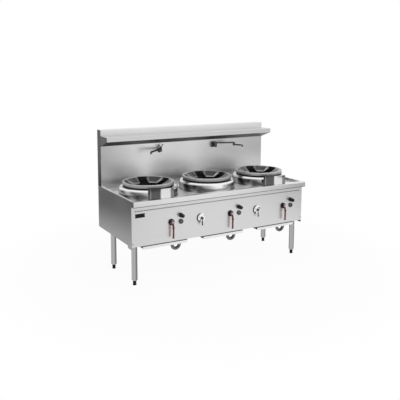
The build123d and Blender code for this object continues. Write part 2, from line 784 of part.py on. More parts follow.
def heat_guard(x, turn):
    """Upright curved plate that stands on the nosing, with a foot and bent ends."""
    start = 270 + turn - guard_angle / 2
    foot = rim_height + seat_clearance
    middle_radius = guard_radius + guard_wall / 2
    with BuildPart() as guard:
        with BuildSketch(upright(x, burner_y, start)):
            with Locations((middle_radius, foot + guard_height / 2)):
                Rectangle(guard_wall, guard_height)
            with Locations((guard_radius + guard_foot_width / 2, foot + guard_wall / 2)):
                Rectangle(guard_foot_width, guard_wall)
        revolve(axis=Axis((x, burner_y, 0), (0, 0, 1)), revolution_arc=guard_angle)
        for end in (-1, 1):
            end_angle = 270 + turn + end * guard_angle / 2
            corner_x = x + middle_radius * cos(radians(end_angle))
            corner_y = burner_y + middle_radius * sin(radians(end_angle))
            flange_turn = end_angle + end * (90 - guard_flange_bend)
            with BuildSketch(Plane.XY.offset(foot)):
                with Locations((corner_x, corner_y)):
                    Circle(guard_wall / 2)
                with Locations(Location((corner_x, corner_y, 0), (0, 0, flange_turn))):
                    Rectangle(guard_flange_width, guard_wall, align=(Align.MIN, Align.CENTER))
            extrude(amount=guard_height)
    return guard


keep(heat_guard(burners["left"], guard_left_turn), "heat_guard_left")
keep(heat_guard(burners["right"], guard_right_turn), "heat_guard_right")


# -------------------------------------------------------------- spill trays
def spill_tray(x):
    """Pan with a full-width front, hanging edges for the runners, and a bent drain tube."""
    wall_half = tray_half_width - tray_side_inset
    middle = (tray_front_y + tray_rear_y) / 2
    drain_y = tray_front_y + drain_setback
    drain_x = x + drain_offset
    bend_level = tray_under - drain_fall
    far_x = drain_x + 2 * drain_bend_radius
    with BuildPart() as tray:
        with BuildSketch(Plane.XY.offset(tray_under)):
            with Locations((x, middle)):
                Rectangle(2 * wall_half, tray_depth)
        extrude(amount=tray_height)
        with BuildSketch(Plane.XY.offset(tray_under + tray_wall)):
            with Locations((x, middle)):
                Rectangle(2 * (wall_half - tray_wall), tray_depth - 2 * tray_wall)
        extrude(amount=tray_height, mode=Mode.SUBTRACT)
        with BuildSketch(Plane.XY.offset(tray_top - tray_wall)):
            for side in (-1, 1):
                with Locations((x + side * (wall_half + tray_side_inset / 2), middle)):
                    Rectangle(tray_side_inset, tray_depth)
        extrude(amount=tray_wall)
        with BuildSketch(Plane.XY.offset(tray_under)):
            with Locations((x, tray_front_y + tray_wall / 2)):
                Rectangle(2 * tray_half_width, tray_wall)
        extrude(amount=tray_height)
        with BuildLine() as bend:
            Line((drain_x, drain_y, tray_under), (drain_x, drain_y, bend_level))
            ThreePointArc((drain_x, drain_y, bend_level),
                          (drain_x + drain_bend_radius, drain_y, bend_level - drain_bend_radius),
                          (far_x, drain_y, bend_level))
        with BuildSketch(Plane.XY.offset(tray_under)):
            with Locations((drain_x, drain_y)):
                Circle(drain_tube_radius)
        sweep(path=bend.line)
        with BuildSketch(Plane.XY.offset(tray_under)):
            with Locations((drain_x, drain_y)):
                Circle(drain_bore_radius)
        sweep(path=bend.line, mode=Mode.SUBTRACT)
        with BuildSketch(Plane.XY.offset(tray_under)):
            with Locations((drain_x, drain_y)):
                Circle(drain_bore_radius)
        extrude(amount=tray_wall, mode=Mode.SUBTRACT)
        with BuildSketch(Plane.XY.offset(bend_level)):
            with Locations((far_x, drain_y)):
                RegularPolygon(drain_nut_radius, 6)
        extrude(amount=drain_nut_height)
    return tray


for tray_name, x in trays.items():
    keep(spill_tray(x), f"spill_tray_{tray_name}")

# ----------------------------------------------------------- front controls
with BuildPart() as panel_bezels:
    for x in burners.values():
        with BuildSketch(facing_front(x + lever_offset, panel_y, lever_height)):
            Circle(boss_radius)
        extrude(amount=boss_height)
        with BuildSketch(facing_front(x + lever_offset, panel_y - boss_height, lever_height)):
            Circle(boss_step_radius)
        extrude(amount=boss_step_height)
        with BuildSketch(facing_front(x + lever_offset, panel_y, lever_height)):
            Circle(lever_shaft_radius + running_clearance)
        extrude(amount=boss_height + boss_step_height, mode=Mode.SUBTRACT)
        with BuildSketch(facing_front(x + knob_offset, panel_y, button_height)):
            Circle(bezel_radius)
            Circle(button_radius + seat_clearance, mode=Mode.SUBTRACT)
        extrude(amount=bezel_height)
    fillet(panel_bezels.edges().filter_by(GeomType.CIRCLE).group_by(Axis.Y)[0], bezel_edge)
keep(panel_bezels, "panel_bezels")


def gas_lever(x):
    """Round rod, bent forward out of its hub and hanging down to a ball."""
    axis_x = x + lever_offset
    hub_front = panel_y - boss_height - boss_step_height
    with BuildPart() as lever:
        with BuildSketch(facing_front(axis_x, hub_front - seat_clearance, lever_height)):
            Circle(lever_hub_radius)
        extrude(amount=lever_hub_radius)
        with BuildSketch(facing_front(axis_x, hub_front - seat_clearance, lever_height)):
            Circle(lever_shaft_radius)
        extrude(amount=-(boss_height + boss_step_height + seat_clearance + sheet + gas_valve_length / 2))
        hub_y = hub_front - seat_clearance - lever_hub_radius / 2
        rod_y = panel_y - lever_stand
        rod_end = (axis_x, rod_y, lever_height - lever_drop)
        with BuildLine() as path:
            FilletPolyline((axis_x, hub_y, lever_height - lever_hub_radius / 2),
                           (axis_x, rod_y, lever_height - 3 * lever_hub_radius),
                           rod_end, radius=2 * lever_hub_radius)
        with BuildSketch(Plane(origin=path.line @ 0, z_dir=path.line % 0)):
            Circle(lever_rod_radius)
        sweep(path=path.line)
        with Locations(rod_end):
            Sphere(lever_ball_radius)
    return lever


def pilot_knob(x):
    """Cylindrical knob with finger grooves and a raised pointer."""
    axis_x = x + knob_offset
    back = panel_y - knob_stand
    with BuildPart() as knob:
        with BuildSketch(facing_front(axis_x, back, knob_height)):
            Circle(knob_radius)
            with PolarLocations(knob_radius + knob_groove_radius / 2, knob_grooves):
                Circle(knob_groove_radius, mode=Mode.SUBTRACT)
        extrude(amount=knob_length)
        with BuildSketch(facing_front(axis_x, back, knob_height)):
            Circle(knob_radius + knob_collar)
        extrude(amount=knob_collar_height)
        with BuildSketch(facing_front(axis_x, back - knob_length, knob_height)):
            with Locations((0, knob_radius / 2)):
                Rectangle(2 * knob_pointer, knob_radius - 2 * knob_pointer)
        extrude(amount=knob_pointer)
        with BuildSketch(facing_front(axis_x, back, knob_height)):
            Circle(knob_shaft_radius)
        extrude(amount=-(knob_stand + sheet + pilot_valve_length / 2))
    return knob


def igniter_button(x):
    """Round push button with a dished face, guided by its bezel."""
    with BuildPart() as button:
        with BuildSketch(facing_front(x + knob_offset, panel_y, button_height)):
            Circle(button_radius)
        extrude(amount=button_length)
        fillet(button.faces().sort_by(Axis.Y)[0].edges(), button_edge)
        with BuildSketch(facing_front(x + knob_offset, panel_y, button_height)):
            Circle(button_radius / 2)
        extrude(amount=-button_plunger)
    return button


for burner_name, x in burners.items():
    keep(gas_lever(x), f"gas_lever_{burner_name}")
    keep(pilot_knob(x), f"pilot_knob_{burner_name}")
    keep(igniter_button(x), f"igniter_button_{burner_name}")

with BuildPart() as gas_valves:
    stub_top = lever_height - gas_valve_radius / 2
    rail_upper = gas_rail_level + gas_rail / 2
    link_y = panel_back_y + pilot_valve_length / 2
    holder_y = panel_y + button_plunger + button_travel + hole_clearance + button_radius / 2
    for x in burners.values():
        with BuildSketch(facing_front(x + lever_offset, panel_back_y, lever_height)):
            Circle(gas_valve_radius)
        extrude(amount=-gas_valve_length)
        with BuildSketch(facing_front(x + knob_offset, panel_back_y, knob_height)):
            Circle(pilot_valve_radius)
        extrude(amount=-pilot_valve_length)
        # stub down to the gas rail
        with BuildSketch(Plane.XY.offset(rail_upper)):
            with Locations((x + lever_offset, front_y + gas_rail_setback)):
                Circle(gas_valve_radius / 2)
        extrude(amount=stub_top - rail_upper)
        # bar that joins the pilot valve to the main valve
        reach = knob_offset - lever_offset
        with BuildSketch(Plane.XY.offset(knob_height - pilot_valve_radius / 2)):
            with Locations((x + lever_offset + reach / 2, link_y)):
                Rectangle(reach, pilot_valve_radius)
        extrude(amount=pilot_valve_radius)
        with BuildSketch(Plane.XY.offset(lever_height)):
            with Locations((x + lever_offset, link_y)):
                Rectangle(pilot_valve_radius, pilot_valve_radius)
        extrude(amount=knob_height - lever_height)
        # holder for the igniter button
        with BuildSketch(Plane.XY.offset(button_height - button_radius)):
            with Locations((x + lever_offset + reach / 2, holder_y)):
                Rectangle(reach, button_radius)
        extrude(amount=2 * button_radius)
        with BuildSketch(facing_front(x + lever_offset, panel_back_y, lever_height)):
            Circle(lever_shaft_radius + running_clearance)
        extrude(amount=-gas_valve_length / 2 - bore_spare, mode=Mode.SUBTRACT)
        with BuildSketch(facing_front(x + knob_offset, panel_back_y, knob_height)):
            Circle(knob_shaft_radius + running_clearance)
        extrude(amount=-pilot_valve_length / 2 - bore_spare, mode=Mode.SUBTRACT)
keep(gas_valves, "gas_valves")

with BuildPart() as gas_manifold:
    rail_y = front_y + gas_rail_setback
    branch_x = half_width - gas_branch_inset
    rail_start = burners["left"] + lever_offset - gas_rail
    rail_bore = gas_rail - 2 * gas_rail_wall
    with BuildSketch(Plane.XY.offset(gas_rail_level - gas_rail / 2)):
        with Locations(((rail_start + branch_x + gas_rail / 2) / 2, rail_y)):
            Rectangle(branch_x + gas_rail / 2 - rail_start, gas_rail)
        with Locations((branch_x, (rail_y + supply_y) / 2)):
            Rectangle(gas_rail, supply_y - rail_y + gas_rail)
    extrude(amount=gas_rail)
    with BuildSketch(Plane.XY.offset(gas_rail_level - rail_bore / 2)):
        with Locations(((rail_start + branch_x + gas_rail / 2) / 2, rail_y)):
            Rectangle(branch_x + rail_bore - gas_rail / 2 - rail_start, rail_bore)
        with Locations((branch_x, (rail_y + supply_y) / 2)):
            Rectangle(rail_bore, supply_y - rail_y + rail_bore)
    extrude(amount=rail_bore, mode=Mode.SUBTRACT)
    with BuildSketch(Plane.XY.offset(pipe_end_level)):
        with Locations((branch_x, supply_y)):
            Circle(gas_thread_radius)
    extrude(amount=gas_rail_level - gas_rail / 2 - pipe_end_level)
    with BuildSketch(Plane.XY.offset(pipe_end_level)):
        with Locations((branch_x, supply_y)):
            Circle(gas_thread_radius - gas_rail_wall)
    extrude(amount=gas_rail_level - pipe_end_level, mode=Mode.SUBTRACT)
keep(gas_manifold, "gas_manifold")

with BuildPart() as burner_feed_pipes:
    for x in burners.values():
        stem_end = chamber_under + chamber_wall - burner_stem_length
        valve_end = (x + lever_offset, panel_back_y + gas_valve_length, lever_height)
        add(tube_along([(x, burner_y, stem_end), (x, burner_y, lever_height),
                        (x + lever_offset, burner_y - 2 * lever_offset, lever_height), valve_end],
                       feed_radius, feed_bend))
keep(burner_feed_pipes, "burner_feed_pipes")

# ------------------------------------------------------------- water valves
with BuildPart() as water_valves:
    for x in water_taps.values():
        with BuildSketch(facing_front(x, panel_y, water_height)):
            Circle(rosette_radius)
        extrude(amount=rosette_height, taper=rosette_taper)
        with BuildSketch(facing_front(x, panel_y - rosette_height, water_height)):
            Circle(water_hub_radius)
        extrude(amount=water_hub_stand - rosette_height)
        with BuildSketch(facing_front(x, panel_y, water_height)):
            Circle(water_hub_radius)
        extrude(amount=-(sheet + gas_valve_length))
        with BuildSketch(facing_front(x, panel_y - water_hub_stand, water_height)):
            Circle(water_stem_radius + running_clearance)
        extrude(amount=-(water_hub_stand + sheet + gas_valve_length / 2), mode=Mode.SUBTRACT)
        # inlet boss under the valve
        with BuildSketch(Plane.XY.offset(water_tail_level)):
            with Locations((x, water_tail_y)):
                Circle(water_tail_radius)
        extrude(amount=water_height - water_hub_radius / 2 - water_tail_level)
keep(water_valves, "water_valves")


def water_handle(x):
    """Hub with a single lever that hangs down and leans forward."""
    front = panel_y - water_hub_stand - seat_clearance
    with BuildPart() as handle:
        with BuildSketch(facing_front(x, front, water_height)):
            Circle(water_hub_radius)
        extrude(amount=water_hub_length)
        fillet(handle.faces().sort_by(Axis.Y)[0].edges(), water_hub_edge)
        with BuildSketch(facing_front(x, front, water_height)):
            Circle(water_stem_radius)
        extrude(amount=-(water_hub_stand + seat_clearance + sheet + gas_valve_length / 2 - bore_spare))
        root = (x, front - water_hub_length / 2, water_height - water_hub_radius / 2)
        tip = (x, panel_y - water_lever_stand, water_height - water_lever_length)
        lean = (0, tip[1] - root[1], tip[2] - root[2])
        with BuildSketch(Plane(origin=root, z_dir=lean)):
            RectangleRounded(water_lever_width, water_lever_thickness, water_lever_round)
        with BuildSketch(Plane(origin=tip, z_dir=lean)):
            RectangleRounded(water_tip_width, water_tip_thickness, water_lever_round)
        loft()
    return handle


for tap_name, x in water_taps.items():
    keep(water_handle(x), f"water_handle_{tap_name}")

with BuildPart() as water_pipes:
    water_rail_y = front_y + water_rail_setback
    valve_end_y = panel_back_y + gas_valve_length
    water_branch_x = water_taps["right"] + water_branch_offset
    for tap_name, x in water_taps.items():
        riser_x, riser_top = risers[tap_name]
        add(tube_along([(x, valve_end_y, water_height), (x, riser_y - 2 * water_pipe_bend, water_height),
                        (riser_x, riser_y, water_height), (riser_x, riser_y, riser_top),
                        (riser_x, splash_y + sheet, riser_top)], water_pipe_radius, water_pipe_bend / 2))
        add(tube_along([(x, water_tail_y, water_tail_level), (x, water_tail_y, water_rail_level),
                        (x, water_rail_y, water_rail_level)], water_pipe_radius, water_tail_bend))
    add(tube_along([(water_taps["left"] - water_pipe_radius, water_rail_y, water_rail_level),
                    (water_branch_x, water_rail_y, water_rail_level),
                    (water_branch_x, supply_y, water_rail_level),
                    (water_branch_x, supply_y, pipe_end_level + rail)], water_pipe_radius, water_pipe_bend))
    with BuildSketch(Plane.XY.offset(pipe_end_level)):
        with Locations((water_branch_x, supply_y)):
            Circle(water_thread_radius)
    extrude(amount=rail)
keep(water_pipes, "water_pipes")

# ------------------------------------------------------ waste and strainer
waste_x = burners["right"]
waste_y = gutter_middle_y
gutter_floor = deck_top - gutter_depth

with BuildPart() as gutter_outlet:
    with BuildSketch(Plane.XY.offset(pipe_end_level)):
        with Locations((waste_x, waste_y)):
            Circle(waste_radius)
            Circle(waste_radius - waste_wall, mode=Mode.SUBTRACT)
    extrude(amount=gutter_floor - pipe_end_level)
    with BuildSketch(Plane.XY.offset(gutter_floor - deck_sheet - chamber_collar_height)):
        with Locations((waste_x, waste_y)):
            Circle(strainer_radius)
            Circle(waste_radius - waste_wall, mode=Mode.SUBTRACT)
    extrude(amount=chamber_collar_height)
keep(gutter_outlet, "gutter_outlet")

with BuildPart() as gutter_strainer:
    seat = gutter_floor + seat_clearance
    basket_radius = waste_radius - waste_wall - hole_clearance
    with BuildSketch(Plane.XY.offset(seat - strainer_depth)):
        with Locations((waste_x, waste_y)):
            Circle(basket_radius)
    extrude(amount=strainer_depth + waste_wall)
    with BuildSketch(Plane.XY.offset(seat)):
        with Locations((waste_x, waste_y)):
            Circle(strainer_radius)
            Circle(basket_radius - waste_wall, mode=Mode.SUBTRACT)
    extrude(amount=waste_wall)
    with BuildSketch(Plane.XY.offset(seat - strainer_depth + waste_wall)):
        with Locations((waste_x, waste_y)):
            Circle(basket_radius - waste_wall)
    extrude(amount=strainer_depth + waste_wall, mode=Mode.SUBTRACT)
    with BuildSketch(Plane.XY.offset(seat - strainer_depth)):
        with Locations((waste_x, waste_y)):
            with PolarLocations(basket_radius / 2, strainer_holes):
                Circle(strainer_hole_radius)
    extrude(amount=waste_wall, mode=Mode.SUBTRACT)
keep(gutter_strainer, "gutter_strainer")

# ----------------------------------------------------------------- nameplate
plate_x = -panel_half + plate_inset + plate_width / 2
with BuildPart() as nameplate:
    with BuildSketch(facing_front(plate_x, panel_y, plate_level + plate_height / 2)):
        RectangleRounded(plate_width, plate_height, plate_corner)
    extrude(amount=plate_thickness)
keep(nameplate, "nameplate")

# ---------------------------------------------------------------------- taps
barrel_top = tap_level + tap_barrel_height / 2
collar_under = barrel_top + seat_clearance
collar_top = collar_under + spout_collar_height
handle_under = collar_top + seat_clearance

with BuildPart() as tap_body:
    with BuildSketch(facing_front(-tap_offset, splash_y, tap_level)):
        Circle(tap_flange_radius)
    extrude(amount=tap_flange_height)
    with BuildSketch(facing_front(-tap_offset, splash_y + sheet, tap_level)):
        Circle(tap_neck_radius)
    extrude(amount=tap_reach + sheet)
    with BuildSketch(Plane.XY.offset(tap_level - tap_barrel_height / 2)):
        with Locations((-tap_offset, tap_y)):
            Circle(tap_barrel_radius)
    extrude(amount=tap_barrel_height)
    with BuildSketch(Plane.XY.offset(barrel_top)):
        with Locations((-tap_offset, tap_y)):
            Circle(tap_post_radius)
    extrude(amount=collar_top - barrel_top)
    with BuildSketch(Plane.XY.offset(collar_top)):
        with Locations((-tap_offset, tap_y)):
            Circle(tap_spindle_radius + running_clearance)
    extrude(amount=-tap_spindle_depth - hole_clearance, mode=Mode.SUBTRACT)
keep(tap_body, "tap_body")

with BuildPart() as tap_spout:
    spout_z = (collar_under + collar_top) / 2
    along_x = cos(radians(spout_turn))
    along_y = sin(radians(spout_turn))
    root = (tap_post_radius + tap_barrel_radius) / 2
    tip_x = -tap_offset + spout_length * along_x
    tip_y = tap_y + spout_length * along_y
    bend_z = spout_z - spout_fall
    with BuildSketch(Plane.XY.offset(collar_under)):
        with Locations((-tap_offset, tap_y)):
            Circle(tap_barrel_radius)
            Circle(tap_post_radius + running_clearance, mode=Mode.SUBTRACT)
    extrude(amount=spout_collar_height)
    with BuildLine() as path:
        FilletPolyline((-tap_offset + root * along_x, tap_y + root * along_y, spout_z),
                       (tip_x, tip_y, bend_z), (tip_x, tip_y, bend_z - spout_tip_drop),
                       radius=2 * spout_tube_radius)
    with BuildSketch(Plane(origin=path.line @ 0, z_dir=path.line % 0)):
        Circle(spout_tube_radius)
    sweep(path=path.line)
    with BuildSketch(Plane.XY.offset(bend_z - spout_tip_drop)):
        with Locations((tip_x, tip_y)):
            Circle(spout_tube_radius + waste_wall)
            Circle(spout_tube_radius - waste_wall, mode=Mode.SUBTRACT)
    extrude(amount=-spout_nozzle_length)
keep(tap_spout, "tap_spout")

with BuildPart() as tap_handle:
    wing_z = handle_under + handle_hub_height / 2
    with BuildSketch(Plane.XY.offset(handle_under)):
        with Locations((-tap_offset, tap_y)):
            Circle(tap_barrel_radius - waste_wall)
    extrude(amount=handle_hub_height)
    with BuildSketch(Plane.XY.offset(handle_under)):
        with Locations((-tap_offset, tap_y)):
            Circle(tap_spindle_radius)
    extrude(amount=-tap_spindle_depth)
    for side in (-1, 1):
        wing_end = (-tap_offset + side * handle_wing_length, tap_y, wing_z + handle_wing_length)
        with BuildSketch(Plane(origin=(-tap_offset, tap_y, wing_z), z_dir=(side, 0, 1))):
            Circle(handle_wing_radius)
        extrude(amount=handle_wing_length * 2 ** 0.5)
        with Locations(wing_end):
            Sphere(handle_wing_radius)
keep(tap_handle, "tap_handle")

filler_top = filler_neck_z + filler_barrel_height / 2
inner_under = filler_top + seat_clearance
inner_z = inner_under + filler_joint_height / 2
inner_end_x = filler_offset + filler_inner_length * cos(radians(filler_inner_turn))
inner_end_y = filler_y + filler_inner_length * sin(radians(filler_inner_turn))

with BuildPart() as filler_body:
    with BuildSketch(facing_front(filler_offset, splash_y, filler_level)):
        RectangleRounded(filler_plate_width, filler_plate_height, waste_wall)
    extrude(amount=filler_plate_depth)
    with BuildSketch(facing_front(filler_offset, splash_y + sheet, filler_neck_z)):
        Circle(tap_neck_radius)
    extrude(amount=filler_reach + sheet)
    with BuildSketch(Plane.XY.offset(filler_top - filler_barrel_height)):
        with Locations((filler_offset, filler_y)):
            Circle(filler_joint_radius + waste_wall)
    extrude(amount=filler_barrel_height)
    with BuildSketch(Plane.XY.offset(filler_top)):
        with Locations((filler_offset, filler_y)):
            Circle(filler_pin_radius + running_clearance)
    extrude(amount=-filler_pin_depth - hole_clearance, mode=Mode.SUBTRACT)
keep(filler_body, "filler_body")

with BuildPart() as filler_inner_arm:
    with BuildSketch(Plane.XY.offset(inner_under)):
        with Locations((filler_offset, filler_y), (inner_end_x, inner_end_y)):
            Circle(filler_joint_radius)
    extrude(amount=filler_joint_height)
    with BuildSketch(Plane.XY.offset(inner_under)):
        with Locations((filler_offset, filler_y)):
            Circle(filler_pin_radius)
    extrude(amount=-filler_pin_depth)
    arm_dir = (cos(radians(filler_inner_turn)), sin(radians(filler_inner_turn)), 0)
    with BuildSketch(Plane(origin=(filler_offset, filler_y, inner_z), z_dir=arm_dir)):
        Circle(filler_arm_radius)
    extrude(amount=filler_inner_length)
    with BuildSketch(Plane.XY.offset(inner_under)):
        with Locations((inner_end_x, inner_end_y)):
            Circle(filler_pin_radius + running_clearance)
    extrude(amount=filler_pin_depth + hole_clearance, mode=Mode.SUBTRACT)
keep(filler_inner_arm, "filler_inner_arm")

with BuildPart() as filler_outer_arm:
    outer_top = inner_under - seat_clearance
    outer_z = outer_top - filler_joint_height / 2
    along_x = cos(radians(filler_outer_turn))
    along_y = sin(radians(filler_outer_turn))
    tip_x = inner_end_x + filler_outer_length * along_x
    tip_y = inner_end_y + filler_outer_length * along_y
    with BuildSketch(Plane.XY.offset(outer_top)):
        with Locations((inner_end_x, inner_end_y)):
            Circle(filler_joint_radius)
    extrude(amount=-filler_joint_height)
    with BuildSketch(Plane.XY.offset(outer_top)):
        with Locations((inner_end_x, inner_end_y)):
            Circle(filler_pin_radius)
    extrude(amount=seat_clearance + filler_pin_depth)
    with BuildLine() as path:
        FilletPolyline((inner_end_x, inner_end_y, outer_z), (tip_x, tip_y, outer_z),
                       (tip_x, tip_y, outer_z - filler_tip_drop), radius=2 * filler_arm_radius)
    with BuildSketch(Plane(origin=path.line @ 0, z_dir=path.line % 0)):
        Circle(filler_arm_radius)
    sweep(path=path.line)
    with BuildSketch(Plane.XY.offset(outer_z - filler_tip_drop)):
        with Locations((tip_x, tip_y)):
            Circle(filler_arm_radius + waste_wall)
            Circle(filler_arm_radius - waste_wall, mode=Mode.SUBTRACT)
    extrude(amount=-spout_nozzle_length)
keep(filler_outer_arm, "filler_outer_arm")

# ------------------------------------------------------------------- screws
with BuildPart() as cover_screws:
    for x, z in panel_screws:
        with BuildSketch(facing_front(x, panel_y, z)):
            Circle(screw_head_radius)
        extrude(amount=screw_head_height)
        with BuildSketch(facing_front(x, panel_y, z)):
            Circle(screw_shank_radius)
        extrude(amount=-screw_shank_length)
    for x, z in rear_screws + splash_screws:
        with BuildSketch(facing_front(x, rear_face_y, z)):
            Circle(screw_head_radius)
        extrude(amount=-screw_head_height)
        with BuildSketch(facing_front(x, rear_face_y, z)):
            Circle(screw_shank_radius)
        extrude(amount=screw_shank_length)
keep(cover_screws, "cover_screws")
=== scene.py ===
import bmesh
import bpy
import math
from mathutils import Matrix, Vector


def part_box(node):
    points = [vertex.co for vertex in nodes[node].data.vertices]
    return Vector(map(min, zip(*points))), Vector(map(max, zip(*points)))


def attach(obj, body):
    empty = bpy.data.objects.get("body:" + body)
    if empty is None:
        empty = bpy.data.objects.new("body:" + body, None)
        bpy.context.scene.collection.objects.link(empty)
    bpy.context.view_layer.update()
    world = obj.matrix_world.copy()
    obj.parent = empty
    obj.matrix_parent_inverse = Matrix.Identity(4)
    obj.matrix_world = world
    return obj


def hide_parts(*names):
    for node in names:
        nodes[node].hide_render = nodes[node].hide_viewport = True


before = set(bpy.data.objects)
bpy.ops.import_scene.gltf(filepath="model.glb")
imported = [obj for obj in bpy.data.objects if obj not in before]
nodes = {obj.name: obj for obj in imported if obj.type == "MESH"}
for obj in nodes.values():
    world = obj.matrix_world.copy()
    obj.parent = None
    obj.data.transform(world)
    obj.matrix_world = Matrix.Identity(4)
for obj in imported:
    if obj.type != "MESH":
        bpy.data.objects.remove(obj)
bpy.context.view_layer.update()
print("stage: frame loaded with", len(nodes), "nodes")


# ---- shader helpers
class Value:  # one shader output; maths on it adds Math nodes
    def __init__(self, finish, out):
        self.finish, self.out = finish, out

    def maths(self, operation, first, second):
        return self.finish.node("Math", {"operation": operation}, {0: first, 1: second})

    def __add__(self, other): return self.maths("ADD", self, other)
    def __radd__(self, other): return self.maths("ADD", other, self)
    def __sub__(self, other): return self.maths("SUBTRACT", self, other)
    def __rsub__(self, other): return self.maths("SUBTRACT", other, self)
    def __mul__(self, other): return self.maths("MULTIPLY", self, other)
    def __rmul__(self, other): return self.maths("MULTIPLY", other, self)
    def __truediv__(self, other): return self.maths("DIVIDE", self, other)
    def __rtruediv__(self, other): return self.maths("DIVIDE", other, self)
    def __pow__(self, other): return self.maths("POWER", self, other)
    def __gt__(self, other): return self.maths("GREATER_THAN", self, other)


class Finish:  # one material and its node tree
    def __init__(self, name, owner=None):  # or the node tree of an owner, such as the world
        self.material = owner or bpy.data.materials.new(name)
        self.material.use_nodes = True
        self.tree = self.material.node_tree
        self.tree.nodes.clear()

    def node(self, kind, settings=None, inputs=None, out=0):
        made = self.tree.nodes.new("ShaderNode" + kind)
        for key, value in (settings or {}).items():
            if key == "stops":  # a ramp's positions and greys
                ramp = made.color_ramp
                while len(ramp.elements) < len(value):
                    ramp.elements.new(0.5)
                for element, (place, tone) in zip(ramp.elements, value):
                    element.position = place
                    element.color = grey(tone)
            else:
                setattr(made, key, value)
        for key, value in (inputs or {}).items():
            if isinstance(value, Value):
                self.tree.links.new(value.out, made.inputs[key])
            else:
                made.inputs[key].default_value = value
        return Value(self, made.outputs[out]) if len(made.outputs) else None

    def colourMix(self, factor, first, second, blend="MIX"):
        return self.node("Mix", {"data_type": "RGBA", "blend_type": blend, "clamp_factor": True},
                         {0: factor, 6: first, 7: second}, out=2)

    def place(self, scale=(1, 1, 1), turn=(0, 0, 0), shift=(0, 0, 0)):
        coords = self.node("TexCoord", {}, {}, out=3)
        return self.node("Mapping", {}, {"Vector": coords, "Scale": scale, "Rotation": turn, "Location": shift})

    def noise(self, vector, scale, detail=3.0, rough=0.55):
        return self.node("TexNoise", {}, {"Vector": vector, "Scale": scale, "Detail": detail,
                                          "Roughness": rough})

    def close(self, shader):
        self.node("OutputMaterial", {}, {"Surface": shader})
        return self.material


def grey(tone, warm=0.0):
    return (tone + warm, tone, tone - warm, 1)


def brushedSteel(name, look):  # grain is the stretch per axis; the tones after bump are optional bands of painted light, shade and reflection
    finish = Finish(name)
    grain = finish.noise(finish.place(scale=look["grain"]), 1.0, 4.0, 0.65)
    fine = finish.noise(finish.place(scale=tuple(3.1 * g for g in look["grain"])), 1.0, 2.0)
    clouds = finish.noise(finish.place(), 3.2, 4.0)
    wipes = finish.noise(finish.place(scale=(2.0, 2.0, 9.0), turn=(0.3, 0.5, 0)), 1.6, 3.0)
    streak = grain * 0.6 + fine * 0.4
    light = grey(look["tone"] + look["spread"])
    dark = grey(look["tone"] - look["spread"])
    colour = finish.colourMix(streak * 0.7 + clouds * 0.3, dark, light)
    if "reflectionBands" in look:  # painted reflection: soft upright bands; x from -0.9 to 0.9 becomes 0 to 1
        sideways = finish.node("SeparateXYZ", {}, {0: finish.place(scale=(1 / 1.8, 1, 1), shift=(0.5, 0, 0))})
        waver = finish.noise(finish.place(scale=(1, 1, 2)), 2.0) * 0.05 - 0.025
        band = finish.node("ValToRGB", {"stops": look["reflectionBands"]}, {"Fac": sideways + waver})
        colour = finish.colourMix(0.85, colour, band, "MULTIPLY")
    if "paintedTopTone" in look:  # a painted tone along the top of the sheet: paler as painted light on the splashback, black as a painted shadow line on the trays
        height = finish.node("SeparateXYZ", {}, {0: finish.place()}, out=2)
        colour = finish.colourMix((height > look["topFrom"]) * 0.8, colour, grey(look["paintedTopTone"]))
    if "footTone" in look:  # painted light: paler towards the foot of the sheet
        height = finish.node("SeparateXYZ", {}, {0: finish.place()}, out=2)
        foot = finish.node("MapRange", {"interpolation_type": "SMOOTHSTEP"}, {
            "Value": height, "From Min": look["footFrom"], "From Max": look["footTo"], "To Min": 0.0,
            "To Max": 0.75})
        colour = finish.colourMix(foot, colour, grey(look["footTone"]))
    if "paintedLowShadow" in look:  # a painted shadow line along the bottom edge of the sheet
        height = finish.node("SeparateXYZ", {}, {0: finish.place()}, out=2)
        colour = finish.colourMix(1 - (height > look["lowTo"]), colour, grey(look["paintedLowShadow"]))
    if "paintedEndShade" in look:  # painted shade: both short ends of the sheet are duller
        across = finish.node("SeparateXYZ", {}, {0: finish.place()})
        away = finish.node("Math", {"operation": "ABSOLUTE"}, {0: across})
        colour = finish.colourMix(away > look["endFrom"], colour, grey(look["paintedEndShade"]))
    # painted reflection: dark bands where the tint attribute is high
    if "paintedReflectionTone" in look:
        tint = finish.node("Attribute", {"attribute_name": "tint"}, {}, out=2)
        colour = finish.colourMix(tint, colour, grey(look["paintedReflectionTone"]))
    marks = finish.node("ValToRGB", {"stops": [(0.52, 0.0), (0.72, 1.0)]}, {"Fac": wipes})
    rough = look["rough"] + (streak - 0.5) * 0.10 + (clouds - 0.5) * 0.06 + marks * look["marks"]
    bump = finish.node("Bump", {}, {"Height": streak, "Strength": look["bump"], "Distance": 0.0006})
    return finish.close(finish.node("BsdfPrincipled", {}, {
        "Base Color": colour, "Metallic": 1.0, "Roughness": rough, "Normal": bump}))


def polishedChrome(name, look):  # look: tone, rough, smudge, bump and perhaps a tone for painted reflection bands
    finish = Finish(name)
    haze = finish.noise(finish.place(), 5.0, 5.0)
    prints = finish.noise(finish.place(scale=(1, 1, 1.4)), 24.0, 3.0)
    spun = finish.noise(finish.place(scale=(3, 3, 260)), 1.0, 2.0)
    smudge = finish.node("ValToRGB", {"stops": [(0.50, 0.0), (0.66, 1.0)]}, {"Fac": haze * 0.6 + prints * 0.4})
    colour = finish.colourMix(smudge * 0.5, grey(look["tone"]), grey(look["tone"] * 0.92))
    # painted reflection: dark bands where the tint attribute is high
    if "paintedReflectionTone" in look:
        tint = finish.node("Attribute", {"attribute_name": "tint"}, {}, out=2)
        colour = finish.colourMix(tint, colour, grey(look["paintedReflectionTone"]))
    rough = look["rough"] + smudge * look["smudge"] + (spun - 0.5) * 0.03
    bump = finish.node("Bump", {}, {"Height": spun, "Strength": look["bump"], "Distance": 0.0004})
    return finish.close(finish.node("BsdfPrincipled", {}, {
        "Base Color": colour, "Metallic": 1.0, "Roughness": rough, "Normal": bump}))
